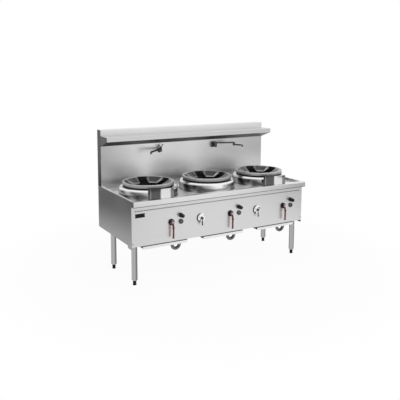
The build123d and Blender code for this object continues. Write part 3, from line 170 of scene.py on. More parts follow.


# look: tone, spread, rough, metal, bump, and the tone of rubbed edges with painted highlights, used where that
# attribute is high
def castMetal(name, look):
    finish = Finish(name)
    pits = finish.noise(finish.place(), 420.0, 3.0, 0.7)
    blotch = finish.noise(finish.place(), 9.0, 4.0)
    grind = finish.noise(finish.place(), 38.0, 3.0)
    tint = finish.colourMix(blotch * 0.7 + grind * 0.3, grey(look["tone"] - look["spread"]),
                            grey(look["tone"] + look["spread"]))
    rough = look["rough"] + (blotch - 0.5) * 0.25 + (pits - 0.5) * 0.15
    if "rubbedAndLit" in look:
        # rubbed edges with painted highlights: paler where the attribute is high
        rub = finish.node("Attribute", {"attribute_name": "rub"}, {}, out=2)
        wearAndHighlight = rub * (0.55 + grind * 0.6)
        tint = finish.colourMix(wearAndHighlight, tint, grey(look["rubbedAndLit"]))
        # soot and painted shade: near black in the gaps between the lobes and on the collar
        soot = finish.node("Attribute", {"attribute_name": "soot"}, {}, out=2)
        tint = finish.colourMix(soot * (0.9 + grind * 0.2), tint, grey(0.004))
        rough = rough - wearAndHighlight * 0.12 + soot * 0.3
    bump = finish.node("Bump", {}, {"Height": pits * 0.7 + grind * 0.3, "Strength": look["bump"],
                                    "Distance": 0.0008})
    return finish.close(finish.node("BsdfPrincipled", {}, {
        "Base Color": tint, "Metallic": look["metal"], "Roughness": rough, "Normal": bump}))


# paint, enamel or plastic; look: colour, spread, rough, bump and perhaps coat, pebble, shine
def coated(name, look):
    finish = Finish(name)
    clouds = finish.noise(finish.place(), 14.0, 4.0)
    pebble = finish.noise(finish.place(), look.get("pebble", 600.0), 2.0)
    base = tuple(look["colour"]) + (1,)
    wearAndHighlight = tuple(min(1.0, c * 1.35 + look["spread"]) for c in look["colour"]) + (1,)
    scuffs = finish.node("ValToRGB", {"stops": [(0.48, 0.0), (0.75, 1.0)]}, {"Fac": clouds})
    colour = finish.colourMix(scuffs * 0.6, base, wearAndHighlight)
    rough = look["rough"] + (clouds - 0.5) * 0.12 + scuffs * 0.06
    bump = finish.node("Bump", {}, {"Height": pebble, "Strength": look["bump"], "Distance": 0.0003})
    return finish.close(finish.node("BsdfPrincipled", {}, {
        "Base Color": colour, "Roughness": rough, "Normal": bump,
        "Coat Weight": look.get("coat", 0.0), "Coat Roughness": 0.08,
        "Specular IOR Level": look.get("shine", 0.5)}))


# one steel, but a tone for each sheet: these imitate light and shade in the photograph
steelLooks = {
    "panelSteel": dict(tone=0.72, spread=0.020, rough=0.36, grain=(3, 3, 420), bump=0.10, marks=0.05),
    # nosing: painted shadow line along its bottom edge
    "nosingSteel": dict(tone=0.76, spread=0.02, rough=0.30, grain=(3, 300, 300), bump=0.10, marks=0.05,
                        paintedLowShadow=0.20, lowTo=0.6945),
    # trays: painted shadow line along their top
    "traySteel": dict(tone=0.86, spread=0.02, rough=0.30, grain=(3, 300, 300), bump=0.10, marks=0.05,
                      paintedTopTone=0.0, topFrom=0.3378),
    # side and rear panels: dark tone as painted shade
    "sideSteel": dict(tone=0.36, spread=0.012, rough=0.34, grain=(3, 4, 420), bump=0.10, marks=0.04),
    # splashback: painted shade at both ends, painted light along the top and the foot, painted reflection bands
    # across
    "splashSteel": dict(tone=0.76, spread=0.02, rough=0.32, grain=(2, 3, 380), bump=0.08, marks=0.03,
                        paintedEndShade=0.03, endFrom=0.8985, paintedTopTone=0.80, topFrom=1.195, footTone=1.0,
                        footFrom=1.02, footTo=0.76,
                        reflectionBands=[(0.0, 0.62), (0.12, 0.80), (0.235, 1.0), (0.31, 0.99), (0.42, 0.97),
                               (0.535, 1.0), (0.62, 0.90), (0.80, 0.74), (1.0, 0.68)]),
    "shelfSteel": dict(tone=0.66, spread=0.03, rough=0.36, grain=(3, 300, 300), bump=0.10, marks=0.04),
    # cover: painted shade at both ends
    "coverSteel": dict(tone=0.52, spread=0.02, rough=0.36, grain=(3, 4, 420), bump=0.10, marks=0.04,
                       paintedEndShade=0.03, endFrom=0.8975),
    "shadeSteel": dict(tone=0.10, spread=0.03, rough=0.40, grain=(3, 300, 300), bump=0.10, marks=0.06),
    # shelf end caps: dark tone as painted shade
    "capSteel": dict(tone=0.07, spread=0.03, rough=0.36, grain=(3, 300, 300), bump=0.10, marks=0.06),
    "deckSteel": dict(tone=0.93, spread=0.02, rough=0.48, grain=(3, 300, 3), bump=0.06, marks=0.05),
    # underframe and screw heads: dark tone as painted shade
    "frameSteel": dict(tone=0.06, spread=0.04, rough=0.45, grain=(60, 60, 60), bump=0.08, marks=0.06),
    # legs: painted reflection bands around each leg
    "legSteel": dict(tone=0.52, spread=0.03, rough=0.12, grain=(3, 3, 300), bump=0.04, marks=0.05,
                     paintedReflectionTone=0.04),
    # trays: dark tone as painted shade inside, under and on the drain
    "trayShadeSteel": dict(tone=0.16, spread=0.08, rough=0.26, grain=(40, 40, 40), bump=0.08, marks=0.08),
}
steels = {name: brushedSteel(name, look) for name, look in steelLooks.items()}
valveChrome = polishedChrome("valveChrome", dict(tone=0.92, rough=0.15, smudge=0.03, bump=0.01, paintedReflectionTone=0.03))
skirtChrome = polishedChrome("skirtChrome", dict(tone=0.90, rough=0.20, smudge=0.02, bump=0.0, paintedReflectionTone=0.06))
guardSteel = polishedChrome("guardSteel", dict(tone=0.76, rough=0.22, smudge=0.03, bump=0.0, paintedReflectionTone=0.055))
ringIron = castMetal("ringIron", dict(tone=0.20, spread=0.03, rough=0.36, metal=0.7, bump=0.10, rubbedAndLit=1.0))
sootIron = castMetal("sootIron", dict(tone=0.045, spread=0.02, rough=0.6, metal=0.3, bump=0.4))
redEnamel = coated("redEnamel", dict(colour=(0.20, 0.010, 0.014), spread=0.012, rough=0.32, coat=0.4,
                                     bump=0.05))
blackGloss = coated("blackGloss", dict(colour=(0.006, 0.006, 0.007), spread=0.005, rough=0.34, bump=0.05,
                                       shine=0.22))
blackMatt = coated("blackMatt", dict(colour=(0.008, 0.008, 0.008), spread=0.006, rough=0.55, bump=0.25,
                                     shine=0.2))
paleButton = coated("paleButton", dict(colour=(0.30, 0.30, 0.31), spread=0.03, rough=0.40, bump=0.08))
plateBlack = coated("plateBlack", dict(colour=(0.006, 0.006, 0.007), spread=0.006, rough=0.38, bump=0.08,
                                       shine=0.2))
brassCast = castMetal("brassCast", dict(tone=0.42, spread=0.06, rough=0.35, metal=1.0, bump=0.15))
gasPaint = coated("gasPaint", dict(colour=(0.55, 0.42, 0.06), spread=0.04, rough=0.42, bump=0.12))
tapDark = polishedChrome("tapDark", dict(tone=0.10, rough=0.18, smudge=0.08, bump=0.05))
tapBright = polishedChrome("tapBright", dict(tone=0.75, rough=0.14, smudge=0.08, bump=0.05))


def dress(name, material):
    mesh = nodes[name].data
    mesh.materials.clear()
    mesh.materials.append(material)


sides = ("left", "centre", "right")
for side in sides:
    dress("burner_chamber_" + side, sootIron)
    dress("jet_burner_" + side, sootIron)
dress("rear_panel", steels["sideSteel"])
dress("splashback_cover", steels["coverSteel"])
for name in ("gutter_outlet", "gutter_strainer", "water_pipes"):
    dress(name, steels["deckSteel"])
dress("underframe", steels["frameSteel"])
dress("gas_valves", brassCast)
dress("gas_manifold", gasPaint)
dress("burner_feed_pipes", gasPaint)
print("stage: finishes made")


# ---- mesh helpers: rows of points become closed skins
def eased(points, reach, steps=5, loop=False):  # the same line with its corners rounded over that reach
    spots = [Vector(p) for p in points]
    line = []
    for i, spot in enumerate(spots):
        if not loop and i in (0, len(spots) - 1):
            line.append(spot)
            continue
        before = spots[i - 1] - spot
        after = spots[(i + 1) % len(spots)] - spot
        cut = min(reach, before.length * 0.48, after.length * 0.48)
        start = spot + before.normalized() * cut
        end = spot + after.normalized() * cut
        for k in range(steps + 1):
            t = k / steps
            line.append(start.lerp(spot, t).lerp(spot.lerp(end, t), t))
    return line


class Shape:  # gathers skins in one mesh
    def __init__(self):
        self.mesh = bmesh.new()

    def skin(self, rows, around=True, along=False, caps=False):
        made = [[self.mesh.verts.new(p) for p in row] for row in rows]
        count = len(made[0])
        for i in range(len(made) - (0 if along else 1)):
            first, second = made[i], made[(i + 1) % len(made)]
            for j in range(count - (0 if around else 1)):
                k = (j + 1) % count
                self.mesh.faces.new((first[j], first[k], second[k], second[j]))
        if caps:
            self.mesh.faces.new(made[0])
            self.mesh.faces.new(made[-1])
        return made

    def turned(self, profile, origin, axis=(0, 0, 1), steps=40, loop=False, flute=None):
        axis = Vector(axis).normalized()
        side = axis.orthogonal().normalized()
        other = axis.cross(side)
        rows = []
        for radius, height in [tuple(p)[:2] for p in profile]:
            row = []
            for n in range(steps):
                a = 2 * math.pi * n / steps
                r = radius * (flute(a, height) if flute else 1.0)
                row.append(Vector(origin) + axis * height + (side * math.cos(a) + other * math.sin(a)) * r)
            rows.append(row)
        self.skin(rows, along=loop)

    def swept(self, path, radius, sides=14, flat=1.0, lean=None):  # radius may be a function of 0 to 1
        spots = [Vector(p) for p in path]
        last = len(spots) - 1
        side = Vector(lean) if lean else (spots[1] - spots[0]).orthogonal()
        rows = []
        for i, spot in enumerate(spots):
            ahead = (spots[min(i + 1, last)] - spots[max(i - 1, 0)]).normalized()
            side = (side - ahead * side.dot(ahead)).normalized()
            other = ahead.cross(side)
            r = radius(i / last) if callable(radius) else radius
            ring = [(side * math.cos(a) + other * math.sin(a) * flat) * r
                    for a in (2 * math.pi * n / sides for n in range(sides))]
            if i == 0:
                rows.append([spot - ahead * r * 0.25 + p * 0.7 for p in ring])
            rows.append([spot + p for p in ring])
            if i == last:
                rows.append([spot + ahead * r * 0.25 + p * 0.7 for p in ring])
        self.skin(rows, caps=True)

    def ball(self, centre, radius, steps=20):
        half = [(radius * math.sin(math.pi * n / 12), -radius * math.cos(math.pi * n / 12)) for n in range(13)]
        self.turned(half, centre, steps=steps)

    def block(self, low, high, edge=0.0005):
        made = bmesh.ops.create_cube(self.mesh, size=1.0)["verts"]
        for v in made:
            v.co = Vector([low[i] + (v.co[i] + 0.5) * (high[i] - low[i]) for i in range(3)])
        edges = list({e for v in made for e in v.link_edges})
        bmesh.ops.bevel(self.mesh, geom=edges, offset=edge, segments=2, profile=0.5, affect="EDGES",
                        clamp_overlap=True)


def piece(name, shape, finishes, body, stands=(), sharp=35.0):
    data = shape
    if isinstance(shape, Shape):
        bmesh.ops.remove_doubles(shape.mesh, verts=shape.mesh.verts, dist=0.000001)
        bmesh.ops.recalc_face_normals(shape.mesh, faces=shape.mesh.faces)
        data = bpy.data.meshes.new(name)
        shape.mesh.to_mesh(data)
        shape.mesh.free()
        data.polygons.foreach_set("use_smooth", [True] * len(data.polygons))
        data.set_sharp_from_angle(angle=math.radians(sharp))
    for finish in finishes:
        data.materials.append(finish)
    made = bpy.data.objects.new(name, data)
    bpy.context.scene.collection.objects.link(made)
    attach(made, body)
    if stands:
        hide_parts(*stands)
    return made


def middle(name):  # centre, low corner and high corner of a CAD node
    low, high = (Vector(c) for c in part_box(name))
    return (low + high) / 2, low, high


# ---- sheet metal: copies of the flat nodes with fine rounded edges
sheetEdge = dict(width=0.0009, seamAngle=40.0)


def softened(node, newName, finishes, body, shadedFace=None):
    shape = Shape()
    mesh = shape.mesh
    mesh.from_mesh(nodes[node].data)
    bmesh.ops.remove_doubles(mesh, verts=mesh.verts, dist=0.000002)
    bmesh.ops.dissolve_limit(mesh, angle_limit=math.radians(1.0), verts=mesh.verts, edges=mesh.edges)
    rounded = {f for e in mesh.edges if e.is_manifold
               and math.radians(1.5) < e.calc_face_angle(0) < math.radians(sheetEdge["seamAngle"])
               for f in e.link_faces}
    for f in mesh.faces:  # wide faces stay flat
        f.smooth = f in rounded and f.calc_area() < 0.006 * max(e.calc_length() for e in f.edges)
        # some faces take a second or third finish: painted shade on the shelf's underside and in and around the
        # trays
        if shadedFace:
            f.material_index = int(shadedFace(f))
    folds = [e for e in mesh.edges if e.is_manifold
             and e.calc_face_angle(0) > math.radians(sheetEdge["seamAngle"])]
    made = bmesh.ops.bevel(mesh, geom=folds, offset=sheetEdge["width"], segments=2, profile=0.5,
                           affect="EDGES", clamp_overlap=True)
    for f in made["faces"]:
        f.smooth = True
    data = bpy.data.meshes.new(newName)
    mesh.to_mesh(data)
    mesh.free()
    return piece(newName, data, finishes, body, (node,))


softened("hob_deck", "hobDeck", [steels["deckSteel"]], "frame")
softened("front_nosing", "frontNosing", [steels["nosingSteel"]], "frame")
softened("front_panel", "frontPanel", [steels["panelSteel"]], "frame")
softened("side_panel_left", "sidePanelLeft", [steels["sideSteel"]], "frame")
softened("side_panel_right", "sidePanelRight", [steels["sideSteel"]], "frame")
softened("splashback", "splashbackShell", [steels["splashSteel"]], "frame")
softened("overhead_shelf", "overheadShelf", [steels["shelfSteel"], steels["shadeSteel"]], "frame",
         lambda f: f.normal.z < -0.25)
softened("shelf_end_caps", "shelfEndCaps", [steels["capSteel"]], "frame")


def trayShade(side):  # painted shade: 0 front, 1 inside, under and drain, dark as painted shade, 2 outer ends, black as painted shadow
    low, high = middle("spill_tray_" + side)[1:]

    def shadeIndex(f):
        spot = f.calc_center_median()
        if abs(f.normal.x) > 0.9 and min(spot.x - low.x, high.x - spot.x) < 0.012:
            return 2
        return 1 if spot.y > low.y + 0.0022 or abs(f.normal.z) > 0.9 else 0

    return shadeIndex


for side in sides:
    softened("spill_tray_" + side, "spillTray" + side.title(),
             [steels["traySteel"], steels["trayShadeSteel"], blackMatt],
             "tray_" + side, trayShade(side))
ventSizes = dict(margin=0.020, low=0.640, high=0.656, depth=0.0012)
ventShade = Shape()  # a dark strip behind the slots
panelLow, panelHigh = middle("front_panel")[1:]
ventShade.block((panelLow.x + ventSizes["margin"], panelLow.y + 0.0018, ventSizes["low"]),
                (panelHigh.x - ventSizes["margin"], panelLow.y + 0.0018 + ventSizes["depth"],
                 ventSizes["high"]), 0.0002)
piece("ventShade", ventShade, [blackMatt], "frame")
shadowStripSizes = dict(height=0.0055, depth=0.0012, margin=0.002)
nosingLow = middle("front_nosing")[1]
shadowStrip = Shape()  # a dark strip under the nosing as a painted shadow line
shadowStrip.block((panelLow.x + shadowStripSizes["margin"], panelLow.y - shadowStripSizes["depth"],
            nosingLow.z - shadowStripSizes["height"]),
           (panelHigh.x - shadowStripSizes["margin"], panelLow.y + 0.0002, nosingLow.z + 0.0002), 0.0002)
piece("nosingShadowStrip", shadowStrip, [blackMatt], "frame")
print("stage: sheet metal softened")

# ---- chrome burner skirts
# dark bands that imitate what the metal mirrors in the photograph, not wear: turn from the front, share
wallBands = [(-180, 0.7), (-122, 0.85), (-104, 0.75), (-88, 0.35), (-76, 0.85), (-64, 0.45), (-50, 0.97),
             (-38, 0.85),
         (-24, 0.50), (-10, 0.06), (4, 0.02), (14, 0.35), (26, 0.88), (44, 0.95), (62, 0.8), (180, 0.7)]


def bandShare(knots, turn):
    for (first, low), (second, high) in zip(knots, knots[1:]):
        if first <= turn <= second:
            t = (turn - first) / (second - first)
            return low + (high - low) * t * t * (3 - 2 * t)
    return 0.0


skirtSizes = dict(flare=0.005, flareHeight=0.012, shoulder=0.024, mouth=0.221, wall=0.0025, lip=0.007,
                  steps=160)


def burnerSkirt(side):
    centre, low, high = middle("burner_skirt_" + side)
    size = skirtSizes
    foot = (high.x - low.x) / 2
    wall = foot - size["flare"]
    curve = [(wall - size["shoulder"] * (1 - math.cos(a)), high.z - size["shoulder"] * (1 - math.sin(a)))
             for a in (math.pi / 2 * n / 12 for n in range(13))]
    outer = [(foot - 0.0006, low.z), (foot, low.z + 0.0012)]
    outer += eased([(foot, low.z + 0.002), (wall, low.z + size["flareHeight"]), curve[0]], 0.006)[1:-1] + curve
    outer += [(size["mouth"] + 0.002, high.z), (size["mouth"], high.z - 0.002),
              (size["mouth"], high.z - size["lip"])]
    inner = [(tuple(p)[0] - size["wall"], tuple(p)[1] - (size["wall"] if tuple(p)[1] > high.z - 0.01 else 0))
             for p in reversed(outer[2:-3])]
    inner = [(size["mouth"] + size["wall"], high.z - size["lip"]),
             (size["mouth"] + size["wall"], high.z - size["wall"])] \
        + inner + [(foot - size["wall"] - 0.001, low.z)]
    shape = Shape()
    shape.turned(outer + inner, (centre.x, centre.y, 0), steps=size["steps"], loop=True)
    tint = shape.mesh.verts.layers.float.new("tint")
    for vert in shape.mesh.verts:
        rise = (vert.co.z - low.z) / (high.z - low.z)
        turn = math.degrees(math.atan2(vert.co.x - centre.x, centre.y - vert.co.y)) + (rise - 0.4) * 16
        vert[tint] = bandShare(wallBands, (turn + 180) % 360 - 180) * min(1.0, max(0.0, (0.90 - rise) / 0.16))
    piece("burnerSkirt" + side.title(), shape, [skirtChrome], "frame",
          ("burner_skirt_" + side,), 50.0)


# ---- cast rings
ringSizes = dict(lobes=5, lobeAngle=42.0, firstLobe=46.0, lipHeight=0.029, tip=0.125, fall=0.040, lip=0.020,
                 edge=0.0035, thick=0.011, throat=0.187, spigot=0.195, collar=0.010, blend=11.0, steps=300)


def castRing(side):
    centre, low, high = middle("cast_ring_" + side)
    size = ringSizes
    radius = (high.x - low.x) / 2
    seat = high.z - size["lipHeight"]
    lipInner = radius - size["lip"]
    tip, edge, throat = size["tip"], size["edge"], size["throat"]
    slope = size["fall"] / (lipInner - tip)
    throatTop = high.z - slope * (lipInner - throat)
    rim = [(radius - edge, seat), (radius, seat + edge), (radius, high.z - edge),
           (radius - edge * 0.3, high.z - edge * 0.3), (radius - edge, high.z), (lipInner + edge, high.z)]
    lobe = [(lipInner + (tip + edge - lipInner) * t, high.z - size["fall"] * t + slope * edge * t) for t in
            (n / 8 for n in range(9))]
    lobe += [(tip + edge * 0.3, high.z - size["fall"] - edge * 0.1), (tip, high.z - size["fall"] - edge),
             (tip, high.z - size["fall"] - size["thick"] + edge),
             (tip + edge, high.z - size["fall"] - size["thick"])]
    lobe += [(tip + (throat - tip) * t, high.z - size["fall"] - size["thick"]
              + (throatTop - high.z + size["fall"]) * t) for t in (0.5, 1.0)]
    gap = [(lipInner + (throat - lipInner) * t, high.z + (seat - high.z) * t)
           for t in (n / (len(lobe) - 1) * 0.97 for n in range(len(lobe)))]
    gap[0] = (lipInner, high.z)
    under = seat - size["collar"]
    collar = [(throat, seat), (throat, under + 0.001), (throat + 0.001, under), (size["spigot"] - 0.001, under),
              (size["spigot"], under + 0.001), (size["spigot"], seat)]
    shape = Shape()
    rub = shape.mesh.verts.layers.float.new("rub")
    soot = shape.mesh.verts.layers.float.new("soot")
    rows, rubAndHighlightRows, sootAndShadeRows = [], [], []
    pitch = 360.0 / size["lobes"]
    for n in range(size["steps"]):
        turn = 360.0 * n / size["steps"]
        # degrees from the nearest lobe's middle
        off = abs((turn - size["firstLobe"] + pitch / 2) % pitch - pitch / 2)
        t = min(1.0, max(0.0, (size["lobeAngle"] / 2 + size["blend"] / 2 - off) / size["blend"]))
        lift = t * t * (3 - 2 * t)
        inside = [(g[0] + (l[0] - g[0]) * lift, g[1] + (l[1] - g[1]) * lift) for g, l in zip(gap, lobe)]
        a = math.radians(turn)
        rows.append([(centre.x + r * math.cos(a), centre.y + r * math.sin(a), z)
                     for r, z in rim + inside + collar])
        # rubbed edges and painted highlights on the lobe flanks, the lip's inner edge and the lobe tips
        sideRubAndHighlight = (4 * lift * (1 - lift)) ** 0.6
        faceRubAndHighlight = [max(sideRubAndHighlight, 0.7 if k == 0 else 0.0, 0.5 * lift if k in (8, 9) else 0.0)
                   for k in range(len(lobe))]
        # rim: rubbed edge and painted highlight along its rounded top corner
        rubAndHighlightRows.append([0.10, 0.16, 0.30, 1.0, 0.55, 0.16] + faceRubAndHighlight + [0.0] * len(collar))
        # soot and painted shade: the gaps between the lobes and the collar go near black
        sootAndShadeRows.append([0.0] * len(rim) + [0.0 if k == 0 else 1.0 - lift for k in range(len(lobe))]
                     + [1.0] * len(collar))
    made = shape.skin(rows, along=True)
    for row, rubAndHighlightRow, sootAndShadeRow in zip(made, rubAndHighlightRows, sootAndShadeRows):
        for vert, rubbedAndLit, sootyAndShaded in zip(row, rubAndHighlightRow, sootAndShadeRow):
            vert[rub], vert[soot] = rubbedAndLit, sootyAndShaded
    piece("castRing" + side.title(), shape, [ringIron], "ring_" + side, ("cast_ring_" + side,),
          40.0)


for side in sides:
    burnerSkirt(side)
    castRing(side)
print("stage: burners made")

# ---- loose heat guards: a bent plate with a hem along its top and a foot
guardSizes = dict(radius=0.325, wall=0.002, angle=34.0, turns={"left": -6.0, "right": -9.0}, foot=0.012,
                  end=0.022, bend=40.0, hem=0.009, hemWall=0.0036, dark=0.93, foldDark=0.6, paleFrom=0.46,
                  paleTo=0.88, endDark=0.75)


def heatGuard(side):
    size = guardSizes
    centre = middle("burner_skirt_" + side)[0]
    low, high = middle("heat_guard_" + side)[1:]
    path = []
    for n in range(33):
        a = math.radians(270 + size["turns"][side] + size["angle"] * (n / 32 - 0.5))
        normal = Vector((math.cos(a), math.sin(a), 0))
        path.append((Vector((centre.x, centre.y, 0)) + normal * size["radius"], normal, 1.0))
    for end in (-1, 1):
        turn = 270 + size["turns"][side] + end * size["angle"] / 2
        a = math.radians(turn + end * (90 - size["bend"]))
        out = math.radians(turn - end * size["bend"])
        ahead = Vector((math.cos(a), math.sin(a), 0))
        normal = Vector((math.cos(out), math.sin(out), 0))
        start = path[0][0] if end < 0 else path[-1][0]
        steps = [(start + ahead * size["end"] * t, normal, 0.0) for t in (0.12, 0.5, 0.97)]
        path = list(reversed(steps)) + path if end < 0 else path + steps
    rows = []
    for spot, normal, foot in path:
        reach = size["wall"] + (size["foot"] - size["wall"]) * foot
        section = [(0, low.z), (0, high.z - 0.001), (size["hemWall"] / 2, high.z),
                   (size["hemWall"], high.z - 0.001), (size["hemWall"], high.z - size["hem"]),
                   (size["wall"], high.z - size["hem"] - 0.001), (size["wall"], low.z + size["wall"] * 1.6),
                   (size["wall"] * 1.3, low.z + size["wall"]),
                   (max(reach, size["wall"] * 1.3) + 0.0001, low.z + size["wall"]),
                   (max(reach, size["wall"] * 1.3) + 0.0002, low.z)]
        rows.append([spot + normal * out + Vector((0, 0, z)) for out, z in section])
    shape = Shape()
    tint = shape.mesh.verts.layers.float.new("tint")
    made = shape.skin(rows, caps=True)
    for n, row in enumerate(made):  # dark and pale bands that imitate the photograph's reflections
        along = n / (len(made) - 1)
        if along < size["paleFrom"]:
            dark = size["foldDark"] if 0.08 < along < 0.12 else size["dark"]
        else:
            fading = max(0.0, size["dark"] - (along - size["paleFrom"]) / 0.03)
            dark = fading if along < size["paleTo"] else size["endDark"]
        for vert in row:
            vert[tint] = dark
    piece("heatGuard" + side.title(), shape, [guardSteel], "guard_" + side,
          ("heat_guard_" + side,), 30.0)


for side in ("left", "right"):
    heatGuard(side)

# ---- gas levers: red rod and ball, red hub with a nut
leverSizes = dict(hub=0.012, ball=0.0094, rod=0.0088, shift=0.0035, shaft=0.005, collar=1.28, stand=1.3)


def gasLever(side):
    size = leverSizes
    centre, low, high = middle("gas_lever_" + side)
    panel = middle("front_panel")[1].y
    axisZ = high.z - size["hub"]
    rodY = low.y + size["rod"] * size["stand"]  # keeps the collar inside the box
    hubBack = panel - 0.0183
    hubFront = hubBack - size["hub"]
    ballZ = low.z + 0.0095
    grip = Shape()
    rodX = centre.x + size["shift"]
    path = eased([(centre.x, hubBack - 0.006, axisZ - 0.006), (rodX - 0.001, rodY + 0.006, axisZ - 0.018),
                  (rodX, rodY, axisZ - 0.040), (rodX, rodY, ballZ)], 0.016, 8)
    grip.swept(path, lambda t: size["rod"] * (1.12 - 0.24 * t), sides=18)
    grip.ball((rodX - size["shift"] * 0.4, rodY, ballZ), size["ball"])
    grip.turned([(size["rod"], 0.004), (size["rod"] * size["collar"], 0.003),
                 (size["rod"] * size["collar"], -0.003), (size["rod"], -0.004)], (rodX, rodY, axisZ - 0.046))
    piece("gasLever" + side.title(), grip, [redEnamel], "lever_" + side, ("gas_lever_" + side,))
    hub = Shape()
    hub.turned([(0, 0), (0.0105, 0), (0.012, 0.0012), (0.012, 0.0085), (0.0105, 0.0105), (0.0085, 0.0115),
                (0, 0.0115)],
               (centre.x, hubBack, axisZ), (0, -1, 0))
    hub.turned([(0, 0), (size["shaft"], 0), (size["shaft"], high.y - hubBack), (0, high.y - hubBack)],
               (centre.x, hubBack, axisZ), (0, 1, 0), 24)
    piece("leverHub" + side.title(), hub, [redEnamel], "lever_" + side)
    nut = Shape()
    nut.turned([(0, 0), (0.0068, 0), (0.0068, 0.0006), (0, 0.0006)], (centre.x, hubFront + 0.0005, axisZ),
               (0, -1, 0))
    nut.turned([(0, 0.0006), (0.0050, 0.0006), (0.0054, 0.0010), (0.0054, 0.0030), (0.0046, 0.0036),
                (0, 0.0036)],
               (centre.x, hubFront + 0.0005, axisZ), (0, -1, 0), 6)
    nut.turned([(0, 0.0036), (0.0022, 0.0036), (0.0022, 0.0046), (0.0016, 0.0052), (0, 0.0052)],
               (centre.x, hubFront + 0.0005, axisZ), (0, -1, 0), 16)
    piece("leverNut" + side.title(), nut, [tapBright], "lever_" + side)


# ---- pilot knobs: collar, fluted body, dished face and a pointer
knobSizes = dict(radius=0.0175, collar=0.0195, collarHeight=0.005, flutes=12, fluteDepth=0.07)


def pilotKnob(side):
    size = knobSizes
    centre, low, high = middle("pilot_knob_" + side)
    back = middle("front_panel")[1].y - 0.003
    length = back - low.y - 0.0012
    knob = Shape()

    def fluted(angle, height):
        inBody = size["collarHeight"] + 0.001 < height < length - 0.001
        return 1 - size["fluteDepth"] * max(0.0, math.cos(angle * size["flutes"])) ** 3 if inBody else 1.0

    profile = [(0, 0), (size["collar"] - 0.001, 0), (size["collar"], 0.001),
               (size["collar"], size["collarHeight"] - 0.0012),
               (size["collar"] - 0.0012, size["collarHeight"]), (size["radius"], size["collarHeight"] + 0.0008)]
    profile += [(size["radius"] - 0.0012 * t,
                 size["collarHeight"] + 0.002 + (length - size["collarHeight"] - 0.004) * t)
                for t in (0, 0.25, 0.5, 0.75, 1.0)]
    profile += [(size["radius"] - 0.002, length - 0.0006), (size["radius"] - 0.003, length),
                (size["radius"] - 0.0055, length), (size["radius"] - 0.0065, length - 0.0012),
                (0, length - 0.0012)]
    knob.turned(profile, (centre.x, back, centre.z), (0, -1, 0), 96, flute=fluted)
    knob.turned([(0, 0), (0.004, 0), (0.004, high.y - back), (0, high.y - back)], (centre.x, back, centre.z),
                (0, 1, 0), 20)
    piece("pilotKnob" + side.title(), knob, [blackGloss], "knob_" + side,
          ("pilot_knob_" + side,))
    mark = Shape()
    mark.block((centre.x - 0.0011, low.y + 0.0002, centre.z + 0.002),
               (centre.x + 0.0011, back - length + 0.002, centre.z + 0.0165), 0.0004)
    piece("knobPointer" + side.title(), mark, [paleButton], "knob_" + side)


# ---- igniter buttons
def igniterButton(side):
    centre, low, high = middle("igniter_button_" + side)
    radius = (high.x - low.x) / 2
    panel = middle("front_panel")[1].y
    length = panel - low.y
    cap = Shape()
    cap.turned([(0, length - 0.0022), (0.004, length - 0.0020), (0.0068, length - 0.0010), (0.0078, length),
                (radius - 0.0012, length), (radius - 0.0002, length - 0.0012), (radius, length - 0.003),
                (radius, 0), (0, 0)],
               (centre.x, panel, centre.z), (0, -1, 0), 48)
    cap.turned([(0, 0), (radius / 2, 0), (radius / 2, high.y - panel), (0, high.y - panel)],
               (centre.x, panel, centre.z), (0, 1, 0), 20)
    piece("igniterButton" + side.title(), cap, [blackGloss], "button_" + side,
          ("igniter_button_" + side,))
    spark = Shape()
    spark.turned([(0, length - 0.0024), (0.0055, length - 0.0024), (0.0058, length - 0.0014),
                  (0.0050, length - 0.0008), (0, length - 0.0006)], (centre.x, panel, centre.z), (0, -1, 0), 40)
    piece("igniterMark" + side.title(), spark, [paleButton], "button_" + side)


for side in sides:
    gasLever(side)
    pilotKnob(side)
    igniterButton(side)

# ---- bosses behind the levers and bezels round the buttons
bosses, trims = Shape(), Shape()
for side in sides:
    panel = middle("front_panel")[1].y
    lever, leverHigh = middle("gas_lever_" + side)[::2]
    button = middle("igniter_button_" + side)[0]
    spot = (lever.x, panel, leverHigh.z - leverSizes["hub"])
    bosses.turned([(0.0052, 0), (0.0262, 0), (0.027, 0.0008), (0.027, 0.0072), (0.0252, 0.009),
                   (0.0215, 0.0092), (0.0208, 0.0086), (0.0200, 0.0096), (0.0200, 0.0166), (0.0184, 0.018),
                   (0.0052, 0.018)],
                  spot, (0, -1, 0), 64, loop=True)
    bosses.turned([(0.0103, 0), (0.0207, 0), (0.0215, 0.0008), (0.0215, 0.0070), (0.0190, 0.0096),
                   (0.0165, 0.0100), (0.0150, 0.0092),
                   (0.0103, 0.0092)], (button.x, panel, button.z), (0, -1, 0), 64, loop=True)
    trims.turned([(0.0130, 0.0176), (0.0162, 0.0176), (0.0158, 0.0181), (0.0134, 0.0181)], spot, (0, -1, 0), 48,
                 loop=True)
    trims.turned([(0.0150, 0.0089), (0.0160, 0.0096), (0.0154, 0.00985), (0.0144, 0.0097)],
                 (button.x, panel, button.z), (0, -1, 0), 48, loop=True)
piece("panelBosses", bosses, [blackGloss], "frame", ("panel_bezels",))
piece("bezelTrims", trims, [tapBright], "frame")

